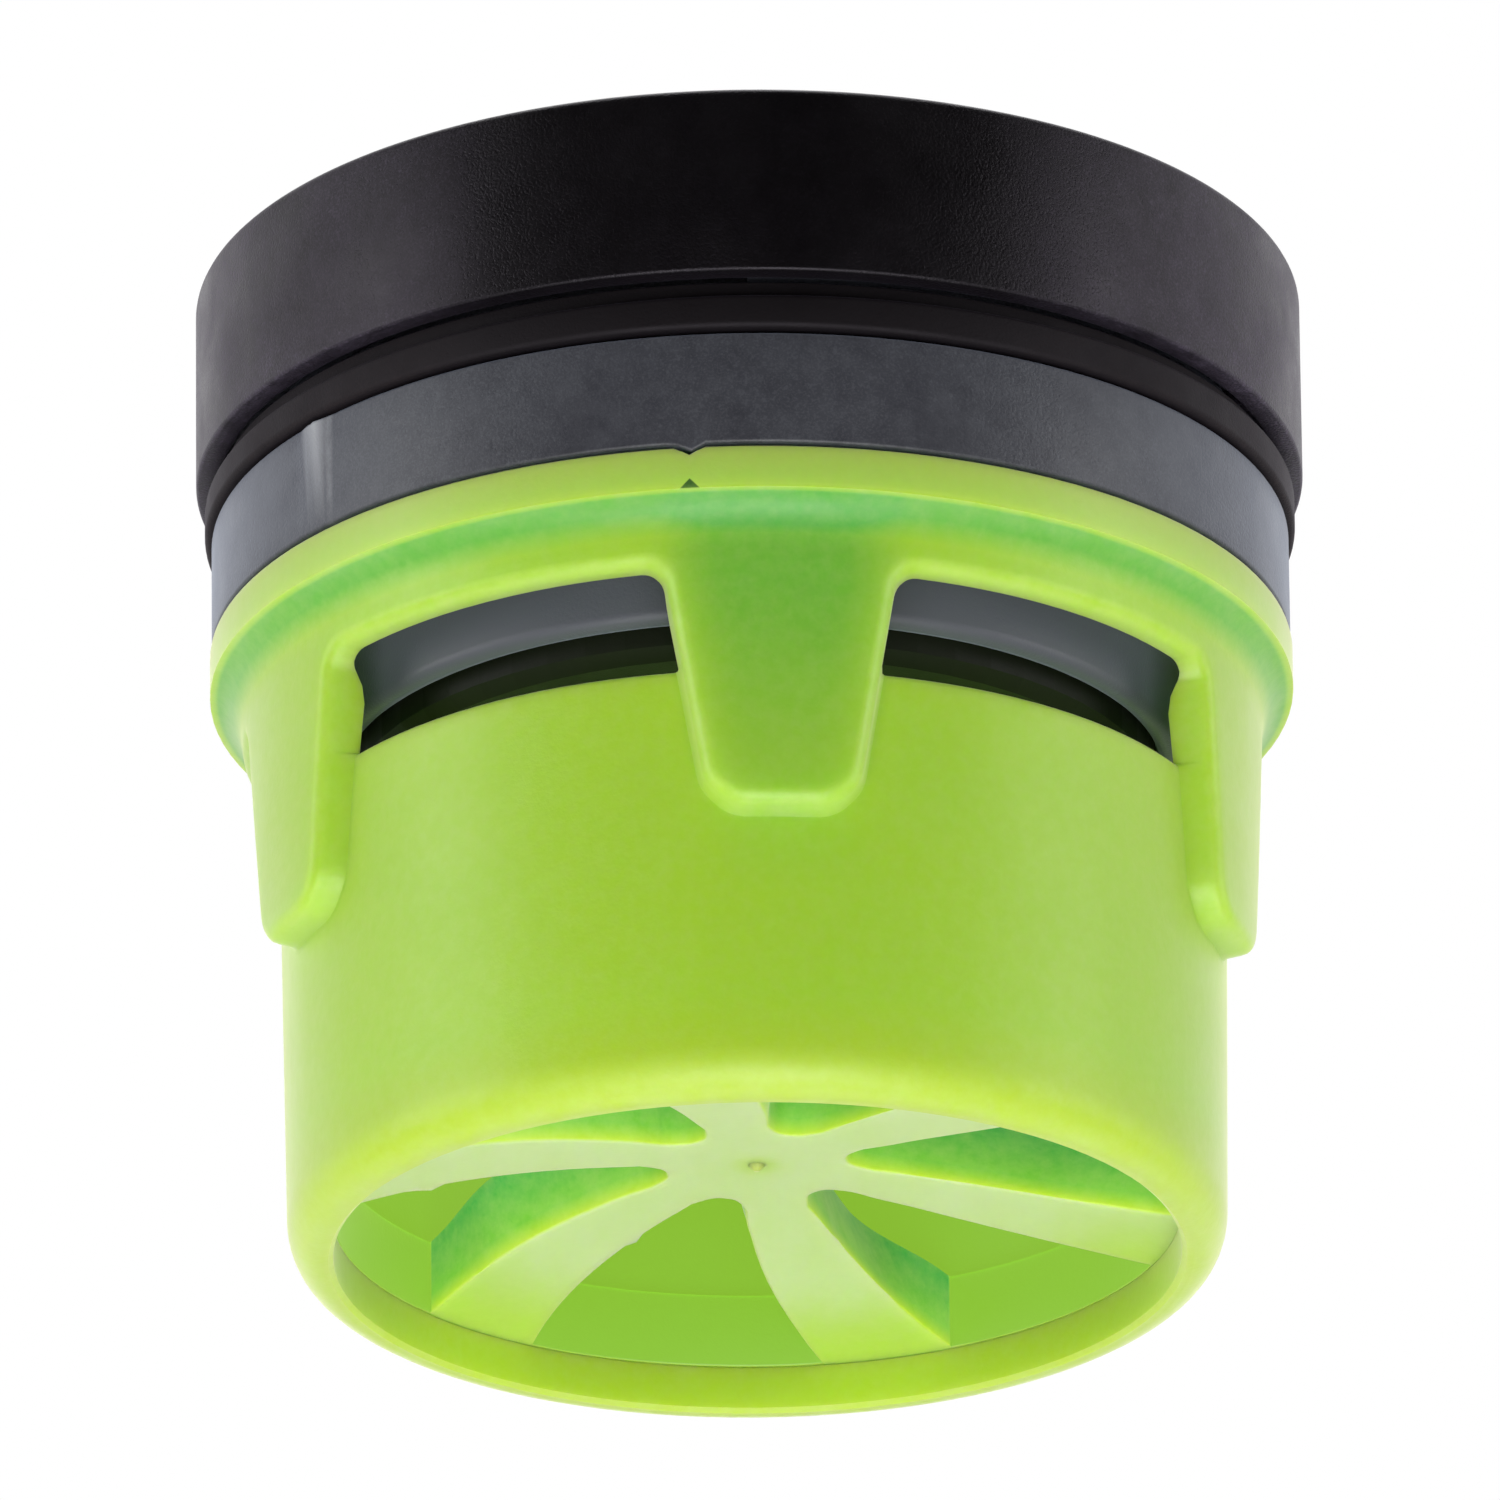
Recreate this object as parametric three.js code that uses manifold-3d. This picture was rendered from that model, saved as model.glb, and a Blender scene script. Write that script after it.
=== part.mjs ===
// Wasp trap head: a lime green entry housing with side windows and a swirled foot grille,
// and above it a lift-off lure head with a grey collar and a black screw cap.
// Millimetres, +Z up, -Y at the front, origin at the centre of the housing's foot rim.
import * as THREE from 'three';
import { mergeVertices } from 'three/addons/utils/BufferGeometryUtils.js';
import Module from 'manifold-3d';

const wasm = await Module();
wasm.setup();

// ---- driving dimensions ----

const roundSegments = 60;          // facets round the body, a multiple of 3, 5 and 6
const pieceGap = 0.3;              // clearance where two pieces seat on each other

// entry housing
const bodyRadius = 38.3;           // outer wall at the window sill
const bodyWall = 2.9;              // housing wall
const footDraft = 0.5;             // the body narrows this much from sill to foot
const rimRounding = 3.6;           // height of the outer rounding of the foot
const rimFlat = 0.6;               // width of the flat that the part stands on
const rimChamfer = 0.4;            // inner edge of the foot rim
const ledgeHeight = 3.9;           // step inside the foot that carries the grille
const sillHeight = 35.6;           // top of the housing wall below the windows
const windowHeight = 8.1;          // sill to the frame above the windows
const frameStandOut = 3.0;         // ribs and frame stand this far outside the body
const frameDraft = 0.6;            // taper of the ribs' outer face, top to bottom
const frameEdgeRadius = 1.2;       // rounding along the lower edge of the frame
const frameWall = 2.1;             // wall of the frame between the windows and the lip
const mouthStep = 0.8;             // the mouth is this much wider than the body's bore
const mouthPlate = 2.4;            // plate inside the lip that carries the spigot
const lipStandOut = 2.6;           // the lip stands this far outside the frame
const lipFilletHeight = 4.0;       // hollow curve under the lip
const lipBandHeight = 3.55;        // upright face of the lip
const spigotHeight = 2.1;          // guide ring above the lip
const spigotWall = 2.0;

// ribs
const ribCount = 5;
const ribTurn = 3.5;               // degrees from the front to the first rib
const ribTopWidth = 18.8;          // at the frame
const ribFootWidth = 11.8;         // at the rib's lower end
const ribDrop = 12.4;              // sill down to the ribs' feet, which seat on a jar's rim
const ribFootCorner = 2.7;
const ribHold = 0.5;               // the ribs reach this far into the body's wall
const windowCorner = 1.6;          // rounding of the windows' upper corners

// index mark: the collar's tooth sits in a notch of the lip, above a small arrow
const indexTurn = -6.2;            // degrees from the front
const toothWidth = 1.9;
const toothDrop = 0.75;            // tooth below the collar's lower edge
const notchDepth = 0.7;
const arrowWidth = 1.7;
const arrowHeight = 0.9;
const arrowDepth = 0.9;

// foot grille
const vaneCount = 6;
const grilleWall = 1.0;            // ring pressed into the housing
const vaneHeight = 6.2;
const dishHeight = 4.25;           // the grille's underside rises this much to its hub
const hubRadius = 7.4;
const gateNubRadius = 0.9;
const gateNubHeight = 0.9;

// collar
const collarInset = 0.15;          // lip edge to collar wall
const collarHeight = 9.5;          // grey band
const collarLift = 0.35;           // shadow gap between the lip and the collar
const collarWall = 2.5;
const skirtClearance = 1.1;        // skirt inside the plate's mouth
const skirtWall = 2.1;
const skirtDrop = 2.3;             // skirt's edge below the windows' upper edge
const webThickness = 2.5;          // plate that joins skirt and band
const channelDepth = 2.3;          // room above the lip for the spigot and gasket
const neckStep = 3.15;             // collar wall to neck
const neckWall = 2.4;
const neckHeight = 11.5;           // above the grey band

// screw thread of the cap on the neck
const threadStarts = 3;
const threadLead = 12;             // rise of the cap in one turn
const threadDepth = 1.9;
const threadClearance = 0.5;       // crest to the other wall
const threadFoot = 1.0;            // half height at the root
const threadTip = 0.5;             // half height at the crest
const threadSpan = 100;            // degrees
const threadLift = 6.2;            // first thread above the grey band
const lugFoot = 0.8;
const lugSpan = 24;                // degrees
const lugStart = 70;               // degrees round from the start of a thread

// seal band under the cap
const bandStandOut = 0.55;         // outside the collar
const bandHeight = 3.1;
const bandStep = 1.1;              // narrower upper part, seen as the groove below the cap
const bandStepHeight = 1.2;

// cap and its seal
const capWall = 2.0;
const capTop = 2.4;
const capEdge = 0.4;
const capPressHeight = 4.8;        // ring inside the cap that bears on the seal
const capSealWidth = 4.0;
const capSealHeight = 1.5;

// hanger
const bailHalfWidth = 16;          // pivot to centre
const bailArm = 10;                // straight part of each arm
const bailRadius = 1.9;
const bailEyeRadius = 2.1;
const bailEyeWidth = 4.4;
const pocketDepth = 5.0;
const pocketFloor = 1.8;
const pocketWall = 2.2;
const pocketMargin = 2.8;          // bail's centre line to the pocket's side
const pocketFrontMargin = 4.0;     // pivot to the pocket's front side
const pinRadius = 1.1;
const pinEngagement = 1.9;         // pin in the pocket's wall
const pinReach = 2.2;              // pin past the bail's centre line

// lure cup, its lid and the bait
const cupClearance = 0.4;          // cup inside the skirt
const cupWall = 1.6;
const cupFloor = 2.0;
const cupDrop = 2.1;               // underside of the cup below the skirt's edge
const flangeClearance = 0.6;       // cup flange inside the neck
const cupFlangeHeight = 1.5;
const ventCount = 12;
const ventWidth = 2.4;
const ventInner = 10;
const ventMargin = 5;              // vents end this far inside the cup's wall
const meshThickness = 0.8;
const baitHeight = 9;
const baitBore = 6;
const lidThickness = 1.6;
const lidOverlap = 1.6;            // lid past the cup's inner wall
const lidPlugDepth = 3.2;
const lidPlugWall = 1.4;
const knobRadius = 4.5;
const knobNeckRadius = 2.8;
const knobHeight = 3.2;

// ---- sizes that follow ----

const cupBore = bodyRadius - bodyWall;
const footRadius = bodyRadius - footDraft;
const grilleRadius = cupBore - pieceGap;
const grilleBore = grilleRadius - grilleWall;
const rimBore = grilleBore;
const grilleFoot = ledgeHeight + pieceGap;
const frameRadius = bodyRadius + frameStandOut;
const mouthBore = cupBore + mouthStep;
const frameBore = frameRadius - frameWall;
const windowTop = sillHeight + windowHeight;
const ribFootHeight = sillHeight - ribDrop;
const filletStart = windowTop + frameEdgeRadius;
const lipRadius = frameRadius + lipStandOut;
const lipFoot = filletStart + lipFilletHeight;
const lipTop = lipFoot + lipBandHeight;
const spigotRadius = mouthBore + spigotWall;
const spigotTop = lipTop + spigotHeight;
const collarRadius = lipRadius - collarInset;
const collarFoot = lipTop + collarLift;
const collarTop = collarFoot + collarHeight;
const channelTop = collarFoot + channelDepth;
const channelRadius = collarRadius - collarWall;
const webTop = channelTop + webThickness;
const skirtRadius = mouthBore - skirtClearance;
const skirtBore = skirtRadius - skirtWall;
const skirtFoot = windowTop - skirtDrop;
const neckRadius = collarRadius - neckStep;
const neckBore = neckRadius - neckWall;
const neckTop = collarTop + neckHeight;
const bandRadius = collarRadius + bandStandOut;
const bandFoot = collarTop + pieceGap;
const bandStepFoot = bandFoot + bandHeight;
const bandTop = bandStepFoot + bandStepHeight;
const capSealFoot = neckTop + pieceGap;
const capSealTop = capSealFoot + capSealHeight;
const capBore = neckRadius + threadDepth + threadClearance;
const capRadius = capBore + capWall;
const capFoot = bandTop + pieceGap;
const capCeiling = capSealTop + pieceGap + capPressHeight;
const capUpper = capCeiling + capTop;
const pocketBase = capUpper - pocketDepth;
const pocketHalfWidth = bailHalfWidth + pocketMargin;
const pivotHeight = pocketBase + pocketDepth / 2;
const pinOuter = pocketHalfWidth + pinEngagement;
const cupRadius = skirtBore - cupClearance;
const cupBoreRadius = cupRadius - cupWall;
const cupFoot = skirtFoot - cupDrop;
const cupFloorTop = cupFoot + cupFloor;
const flangeRadius = neckBore - flangeClearance;
const flangeFoot = webTop + pieceGap;
const flangeTop = flangeFoot + cupFlangeHeight;

// ---- solids ----

const degrees = (angle) => THREE.MathUtils.degToRad(angle);

// Welds a geometry's vertices and drops the slivers that a profile leaves on the axis.
function solidOf(geometry) {
  const plain = geometry.clone();
  plain.deleteAttribute('normal');
  plain.deleteAttribute('uv');
  const welded = mergeVertices(plain, 1e-4);
  const index = Array.from(welded.index.array);
  const faces = [];
  for (let i = 0; i < index.length; i += 3) {
    const [a, b, c] = index.slice(i, i + 3);
    if (a !== b && b !== c && c !== a) faces.push([a, b, c]);
  }
  const point = (i) => new THREE.Vector3().fromBufferAttribute(welded.attributes.position, i);
  const volume = faces.reduce((sum, [a, b, c]) => sum + point(a).dot(point(b).cross(point(c))), 0);
  const outward = volume < 0 ? faces.map(([a, b, c]) => [a, c, b]) : faces;
  const mesh = new wasm.Mesh({
    numProp: 3,
    vertProperties: new Float32Array(welded.attributes.position.array),
    triVerts: new Uint32Array(outward.flat()),
  });
  return new wasm.Manifold(mesh);
}

function geometryOf(solid) {
  const mesh = solid.getMesh();
  const geometry = new THREE.BufferGeometry();
  geometry.setAttribute('position', new THREE.BufferAttribute(mesh.vertProperties, 3));
  geometry.setIndex(new THREE.BufferAttribute(mesh.triVerts, 1));
  geometry.computeVertexNormals();
  return geometry;
}

const join = (first, ...others) => others.reduce((sum, solid) => sum.add(solid), first);
const cut = (first, ...others) => others.reduce((rest, solid) => rest.subtract(solid), first);

// Turns a profile of [radius, height] points round the vertical axis.
function turned(profile, segments = roundSegments) {
  const points = profile.map(([radius, height]) => new THREE.Vector2(radius, height));
  return solidOf(new THREE.LatheGeometry(points, segments).rotateX(Math.PI / 2));
}

// A turned profile that closes on itself, for rings.
const ring = (profile, segments) => turned([...profile, profile[0]], segments);

// A plain ring with a rectangular section.
function flatRing(inner, outer, foot, top) {
  return ring([[inner, foot], [outer, foot], [outer, top], [inner, top]]);
}

// Points along a quarter of an ellipse round a centre, from one angle to another.
function arc([centreRadius, centreHeight], [radial, upright], from, to, steps) {
  const points = [];
  for (let i = 0; i <= steps; i += 1) {
    const angle = degrees(from + ((to - from) * i) / steps);
    points.push([centreRadius + radial * Math.cos(angle), centreHeight + upright * Math.sin(angle)]);
  }
  return points;
}

// An upright outline (across, up), thick along the radius, at an angle from the front.
function radialSlab(outline, inner, outer, turn) {
  const settings = { depth: outer - inner, bevelEnabled: false, curveSegments: 4 };
  const geometry = new THREE.ExtrudeGeometry(outline, settings);
  geometry.rotateX(Math.PI / 2).translate(0, -inner, 0).rotateZ(degrees(turn));
  return solidOf(geometry);
}

// A flat outline (x, y) raised from one height to another.
function raised(outline, foot, top, curveSegments = 3) {
  const settings = { depth: top - foot, bevelEnabled: false, curveSegments };
  return solidOf(new THREE.ExtrudeGeometry(outline, settings).translate(0, 0, foot));
}

// A helical ridge: a section (radius, height) swept round the axis while it climbs.
function helicalRidge(section, start, span, foot, lead) {
  const steps = Math.round(span / (360 / roundSegments));
  const settings = { depth: 1, steps, bevelEnabled: false };
  const geometry = new THREE.ExtrudeGeometry(new THREE.Shape(section), settings);
  const position = geometry.attributes.position;
  for (let i = 0; i < position.count; i += 1) {
    const turn = span * position.getZ(i);
    const angle = degrees(start + turn);
    const radius = position.getX(i);
    const height = foot + position.getY(i) + (lead * turn) / 360;
    position.setXYZ(i, radius * Math.sin(angle), -radius * Math.cos(angle), height);
  }
  return solidOf(geometry);
}

function materialOf(color, roughness, metalness = 0) {
  return new THREE.MeshStandardMaterial({ color, roughness, metalness });
}

const limePlastic = materialOf('#97c53c', 0.5);
const greyPlastic = materialOf('#5d616c', 0.55);
const blackPlastic = materialOf('#1b191d', 0.5);
const blackRubber = materialOf('#141316', 0.75);
const amberBait = materialOf('#b98a3c', 0.8);
const ivoryPlastic = materialOf('#d8d2c0', 0.5);
const steel = materialOf('#b9bcc0', 0.3, 1);

const trap = new THREE.Group();

function place(name, solid, material) {
  const mesh = new THREE.Mesh(geometryOf(solid), material);
  mesh.name = name;
  trap.add(mesh);
}

// ---- entry housing ----

function housingCup() {
  const flatOuter = rimBore + rimChamfer + rimFlat;
  const rounding = arc([flatOuter, rimRounding], [footRadius - flatOuter, rimRounding], -90, 0, 5);
  return ring([
    [rimBore, rimChamfer],
    [rimBore + rimChamfer, 0],
    ...rounding,
    [bodyRadius, sillHeight],
    [cupBore, sillHeight],
    [cupBore, ledgeHeight],
    [rimBore, ledgeHeight],
  ]);
}

function housingFrame() {
  const edgeCentre = [frameRadius - frameEdgeRadius, filletStart];
  const edge = arc(edgeCentre, [frameEdgeRadius, frameEdgeRadius], -90, 0, 3);
  const hollow = arc([lipRadius, filletStart], [-lipStandOut, lipFilletHeight], 0, 90, 5);
  return ring([
    [frameBore, windowTop],
    ...edge,
    ...hollow.slice(1),
    [lipRadius, lipTop],
    [spigotRadius, lipTop],
    [spigotRadius, spigotTop],
    [mouthBore, spigotTop],
    [mouthBore, lipTop - mouthPlate],
    [frameBore, lipTop - mouthPlate],
  ]);
}

// Half the rib's width grows from its lower end to the frame.
const ribSlope = (ribTopWidth - ribFootWidth) / 2 / (windowTop - ribFootHeight);
const ribHalfWidth = (height) => ribFootWidth / 2 + ribSlope * (height - ribFootHeight);

function ribOutline() {
  const neck = windowTop - windowCorner;
  const head = filletStart;
  const right = ribHalfWidth(neck);
  const foot = ribFootWidth / 2;
  const cornerTop = ribFootHeight + ribFootCorner;
  const outline = new THREE.Shape();
  outline.moveTo(-(right + windowCorner), head);
  outline.lineTo(-(right + windowCorner), windowTop);
  outline.quadraticCurveTo(-right, windowTop, -right, neck);
  outline.lineTo(-ribHalfWidth(cornerTop), cornerTop);
  outline.quadraticCurveTo(-foot, ribFootHeight, -foot + ribFootCorner, ribFootHeight);
  outline.lineTo(foot - ribFootCorner, ribFootHeight);
  outline.quadraticCurveTo(foot, ribFootHeight, ribHalfWidth(cornerTop), cornerTop);
  outline.lineTo(right, neck);
  outline.quadraticCurveTo(right, windowTop, right + windowCorner, windowTop);
  outline.lineTo(right + windowCorner, head);
  outline.closePath();
  return outline;
}

function ribs() {
  const ribInner = bodyRadius - ribHold;
  const shell = ring([
    [ribInner, ribFootHeight - 1],
    [frameRadius - frameDraft, ribFootHeight - 1],
    [frameRadius, windowTop],
    [frameRadius, filletStart],
    [ribInner, filletStart],
  ]);
  const outline = ribOutline();
  const all = [];
  for (let i = 0; i < ribCount; i += 1) {
    const turn = ribTurn + (360 / ribCount) * i;
    all.push(radialSlab(outline, bodyRadius / 2, lipRadius, turn).intersect(shell));
  }
  return all;
}

function indexCuts() {
  const notch = new THREE.Shape();
  notch.moveTo(-toothWidth / 2 - pieceGap, lipTop + 1);
  notch.lineTo(-toothWidth / 2 - pieceGap, lipTop);
  notch.lineTo(-pieceGap, lipTop - notchDepth);
  notch.lineTo(pieceGap, lipTop - notchDepth);
  notch.lineTo(toothWidth / 2 + pieceGap, lipTop);
  notch.lineTo(toothWidth / 2 + pieceGap, lipTop + 1);
  notch.closePath();
  const arrow = new THREE.Shape();
  arrow.moveTo(-arrowWidth / 2, lipFoot - 0.4);
  arrow.lineTo(arrowWidth / 2, lipFoot - 0.4);
  arrow.lineTo(arrowWidth / 2, lipFoot);
  arrow.lineTo(0, lipFoot + arrowHeight);
  arrow.lineTo(-arrowWidth / 2, lipFoot);
  arrow.closePath();
  return [
    radialSlab(notch, channelRadius, lipRadius + 1, indexTurn),
    radialSlab(arrow, lipRadius - arrowDepth, lipRadius + 1, indexTurn),
  ];
}

place('entry_housing', cut(join(housingCup(), housingFrame(), ...ribs()), ...indexCuts()), limePlastic);

// ---- foot grille ----

// The underside of the grille is a shallow dish, highest at the hub.
const dish = (radius) => grilleFoot + dishHeight * (1 - (radius / grilleBore) ** 2);

// An opening between two vanes: both edges sweep back as they run out to the ring.
function vaneOpening() {
  const inner = hubRadius / grilleBore;
  const leading = (share) => 99.5 - 18.2 * share;
  const trailing = (share) => 126 - 17.2 * (share - 0.555) ** 2;
  const at = (share, angle) => {
    const radius = share * grilleBore;
    return new THREE.Vector2(radius * Math.cos(degrees(angle)), radius * Math.sin(degrees(angle)));
  };
  const steps = 8;
  const shares = Array.from({ length: steps + 1 }, (_, i) => inner + 0.06 + (0.94 - inner) * (i / steps));
  const out = shares.map((share) => at(share, leading(share)));
  const back = shares.map((share) => at(share, trailing(share))).reverse();
  const rim = [];
  const rimSteps = 5;
  for (let i = 1; i < rimSteps; i += 1) {
    rim.push(at(1.002, leading(1) + ((trailing(1) - leading(1)) * i) / rimSteps));
  }
  const middle = (leading(inner) + trailing(inner)) / 2;
  return new THREE.Shape([...out, ...rim, ...back, at(inner, middle + 5), at(inner, middle - 5)]);
}

function grillePlate() {
  const steps = 5;
  const under = [];
  for (let i = 0; i <= steps; i += 1) {
    const radius = (grilleBore * i) / steps;
    under.push([radius, dish(radius)]);
  }
  const upper = under.map(([radius, height]) => [radius, height + vaneHeight]).reverse();
  return turned([...under, [grilleRadius, grilleFoot], [grilleRadius, grilleFoot + vaneHeight], ...upper]);
}

function grille() {
  const opening = vaneOpening();
  const openings = [];
  for (let i = 0; i < vaneCount; i += 1) {
    const turnedOpening = raised(opening, 0, dish(0) + 2 * vaneHeight);
    openings.push(turnedOpening.rotate([0, 0, (360 / vaneCount) * i]));
  }
  const nubTop = dish(0) + 0.5;
  const nub = turned([[0, dish(0) - gateNubHeight], [gateNubRadius, nubTop], [0, nubTop]], 10);
  return join(cut(grillePlate(), ...openings), nub);
}

place('vane_grille', grille(), limePlastic);

// ---- collar and its gasket ----

const threadSection = (root, crest, foot, tip) => [
  new THREE.Vector2(root, -foot),
  new THREE.Vector2(crest, -tip),
  new THREE.Vector2(crest, tip),
  new THREE.Vector2(root, foot),
];

function collarBody() {
  const half = skirtWall / 2;
  const skirtEdge = arc([skirtRadius - half, skirtFoot + half], [half, half], 180, 360, 4);
  return ring([
    ...skirtEdge,
    [skirtRadius, channelTop],
    [channelRadius, channelTop],
    [channelRadius, collarFoot],
    [collarRadius, collarFoot],
    [collarRadius, collarTop],
    [neckRadius, collarTop],
    [neckRadius, neckTop],
    [neckBore, neckTop],
    [neckBore, webTop],
    [skirtBore, webTop],
  ]);
}

function neckThreads() {
  const section = threadSection(neckRadius - pieceGap, neckRadius + threadDepth, threadFoot, threadTip);
  const all = [];
  for (let i = 0; i < threadStarts; i += 1) {
    const start = (360 / threadStarts) * i;
    all.push(helicalRidge(section, start, threadSpan, collarTop + threadLift, threadLead));
  }
  return all;
}

function indexTooth() {
  const tooth = new THREE.Shape();
  tooth.moveTo(-toothWidth / 2, collarFoot + 0.5);
  tooth.lineTo(-toothWidth / 2, collarFoot);
  tooth.lineTo(0, collarFoot - toothDrop);
  tooth.lineTo(toothWidth / 2, collarFoot);
  tooth.lineTo(toothWidth / 2, collarFoot + 0.5);
  tooth.closePath();
  return radialSlab(tooth, channelRadius + 0.4, collarRadius - 0.1, indexTurn);
}

place('collar_ring', join(collarBody(), ...neckThreads(), indexTooth()), greyPlastic);

const gasketInner = spigotRadius + pieceGap;
const gasketOuter = channelRadius - pieceGap;
const gasketFoot = lipTop + pieceGap;
const gasketTop = channelTop - pieceGap;
place('head_gasket', flatRing(gasketInner, gasketOuter, gasketFoot, gasketTop), blackRubber);

// ---- seal band ----

place('seal_band', ring([
  [neckRadius + pieceGap, bandFoot],
  [bandRadius, bandFoot],
  [bandRadius, bandStepFoot],
  [bandRadius - bandStep, bandStepFoot],
  [bandRadius - bandStep, bandTop],
  [neckRadius + pieceGap, bandTop],
]), blackRubber);

// ---- lure cup, bait and lid ----

function vent(foot, top, turn) {
  const ventOuter = cupBoreRadius - ventMargin;
  const slot = new THREE.Shape();
  slot.moveTo(ventInner, -ventWidth / 2);
  slot.lineTo(ventOuter, -ventWidth / 2);
  slot.quadraticCurveTo(ventOuter + ventWidth / 2, 0, ventOuter, ventWidth / 2);
  slot.lineTo(ventInner, ventWidth / 2);
  slot.quadraticCurveTo(ventInner - ventWidth / 2, 0, ventInner, -ventWidth / 2);
  return raised(slot, foot, top).rotate([0, 0, turn]);
}

function vents(foot, top) {
  return Array.from({ length: ventCount }, (_, i) => vent(foot, top, (360 / ventCount) * i));
}

function lureCup() {
  const shell = turned([
    [0, cupFoot],
    [cupRadius - 1, cupFoot],
    [cupRadius, cupFoot + 1],
    [cupRadius, flangeFoot],
    [flangeRadius, flangeFoot],
    [flangeRadius, flangeTop],
    [cupBoreRadius, flangeTop],
    [cupBoreRadius, cupFloorTop],
    [0, cupFloorTop],
  ]);
  return cut(shell, ...vents(cupFoot - 1, cupFloorTop + 1));
}

place('lure_cup', lureCup(), blackPlastic);

// A fine mesh over the vents keeps the bait's crumbs in and insects out.
function scentMesh() {
  const radius = cupBoreRadius - pieceGap;
  const foot = cupFloorTop + pieceGap;
  return turned([[0, foot], [radius, foot], [radius, foot + meshThickness], [0, foot + meshThickness]]);
}

place('scent_mesh', scentMesh(), steel);

const baitFoot = cupFloorTop + meshThickness + 2 * pieceGap;
place('bait_puck', flatRing(baitBore, cupBoreRadius - pieceGap, baitFoot, baitFoot + baitHeight), amberBait);

function lureLid() {
  const lidFoot = flangeTop + pieceGap;
  const lidTop = lidFoot + lidThickness;
  const plugRadius = cupBoreRadius - pieceGap;
  const plugFoot = lidFoot - lidPlugDepth;
  const disc = turned([
    [0, lidFoot],
    [plugRadius - lidPlugWall, lidFoot],
    [plugRadius - lidPlugWall, plugFoot],
    [plugRadius, plugFoot],
    [plugRadius, lidFoot],
    [cupBoreRadius + lidOverlap, lidFoot],
    [cupBoreRadius + lidOverlap, lidTop],
    [0, lidTop],
  ]);
  const knob = turned([
    [0, lidFoot + lidThickness / 2],
    [knobNeckRadius, lidFoot + lidThickness / 2],
    [knobNeckRadius, lidTop + knobHeight / 2],
    [knobRadius, lidTop + knobHeight / 2],
    [knobRadius, lidTop + knobHeight],
    [0, lidTop + knobHeight],
  ], 24);
  return join(cut(disc, ...vents(lidFoot - 1, lidTop + 1)), knob);
}

place('lure_lid', lureLid(), ivoryPlastic);

// ---- cap and its seal ----

const capSealOuter = neckBore + capSealWidth;
place('cap_seal', flatRing(neckBore + pieceGap, capSealOuter, capSealFoot, capSealTop), blackRubber);

// A pocket outline: straight sides from the front edge, then a half circle at the back.
function pocketOutline(halfWidth, front) {
  const outline = new THREE.Shape();
  outline.moveTo(-halfWidth, front);
  outline.lineTo(halfWidth, front);
  outline.lineTo(halfWidth, bailArm);
  outline.absarc(0, bailArm, halfWidth, 0, Math.PI, false);
  outline.closePath();
  return outline;
}

function capLugs() {
  const section = threadSection(capBore + pieceGap, capBore - threadDepth, lugFoot, threadTip);
  const foot = collarTop + threadLift + (threadLead * lugStart) / 360 - threadLead / threadStarts / 2;
  const all = [];
  for (let i = 0; i < threadStarts; i += 1) {
    const start = (360 / threadStarts) * i + lugStart;
    all.push(helicalRidge(section, start, lugSpan, foot, threadLead));
  }
  return all;
}

function pinAlongX(radius, from, to) {
  const geometry = new THREE.CylinderGeometry(radius, radius, to - from, 16);
  geometry.rotateZ(Math.PI / 2).translate((from + to) / 2, 0, pivotHeight);
  return solidOf(geometry);
}

const pocketSegments = 20;

function capShell() {
  const press = capSealTop + pieceGap;
  const shell = turned([
    [0, capUpper],
    [capRadius - capEdge, capUpper],
    [capRadius, capUpper - capEdge],
    [capRadius, capFoot + capEdge],
    [capRadius - capEdge, capFoot],
    [capBore, capFoot],
    [capBore, capCeiling],
    [capSealOuter, capCeiling],
    [capSealOuter, press],
    [neckBore + pieceGap, press],
    [neckBore + pieceGap, capCeiling],
    [0, capCeiling],
  ]);
  const outerPan = pocketOutline(pocketHalfWidth + pocketWall, -pocketFrontMargin - pocketWall);
  const innerPan = pocketOutline(pocketHalfWidth, -pocketFrontMargin);
  const pan = raised(outerPan, pocketBase - pocketFloor, capUpper - capTop / 2, pocketSegments);
  const pocket = raised(innerPan, pocketBase, capUpper + 1, pocketSegments);
  const holeRadius = pinRadius + pieceGap;
  const rightHole = pinAlongX(holeRadius, pocketHalfWidth - 1, pinOuter + pieceGap);
  const leftHole = pinAlongX(holeRadius, -(pinOuter + pieceGap), -(pocketHalfWidth - 1));
  return cut(join(shell, pan, ...capLugs()), pocket, rightHole, leftHole);
}

place('cap_shell', capShell(), blackPlastic);

// ---- hanger ----

function bailPath() {
  const path = new THREE.CurvePath();
  const start = new THREE.Vector3(-bailHalfWidth, 0, pivotHeight);
  const bend = new THREE.Vector3(-bailHalfWidth, bailArm, pivotHeight);
  path.add(new THREE.LineCurve3(start, bend));
  const steps = 14;
  let last = bend;
  for (let i = 1; i <= steps; i += 1) {
    const angle = Math.PI * (1 - i / steps);
    const x = bailHalfWidth * Math.cos(angle);
    const y = bailArm + bailHalfWidth * Math.sin(angle);
    const next = new THREE.Vector3(x, y, pivotHeight);
    path.add(new THREE.LineCurve3(last, next));
    last = next;
  }
  path.add(new THREE.LineCurve3(last, new THREE.Vector3(bailHalfWidth, 0, pivotHeight)));
  return new THREE.CatmullRomCurve3(path.getSpacedPoints(20));
}

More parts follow.
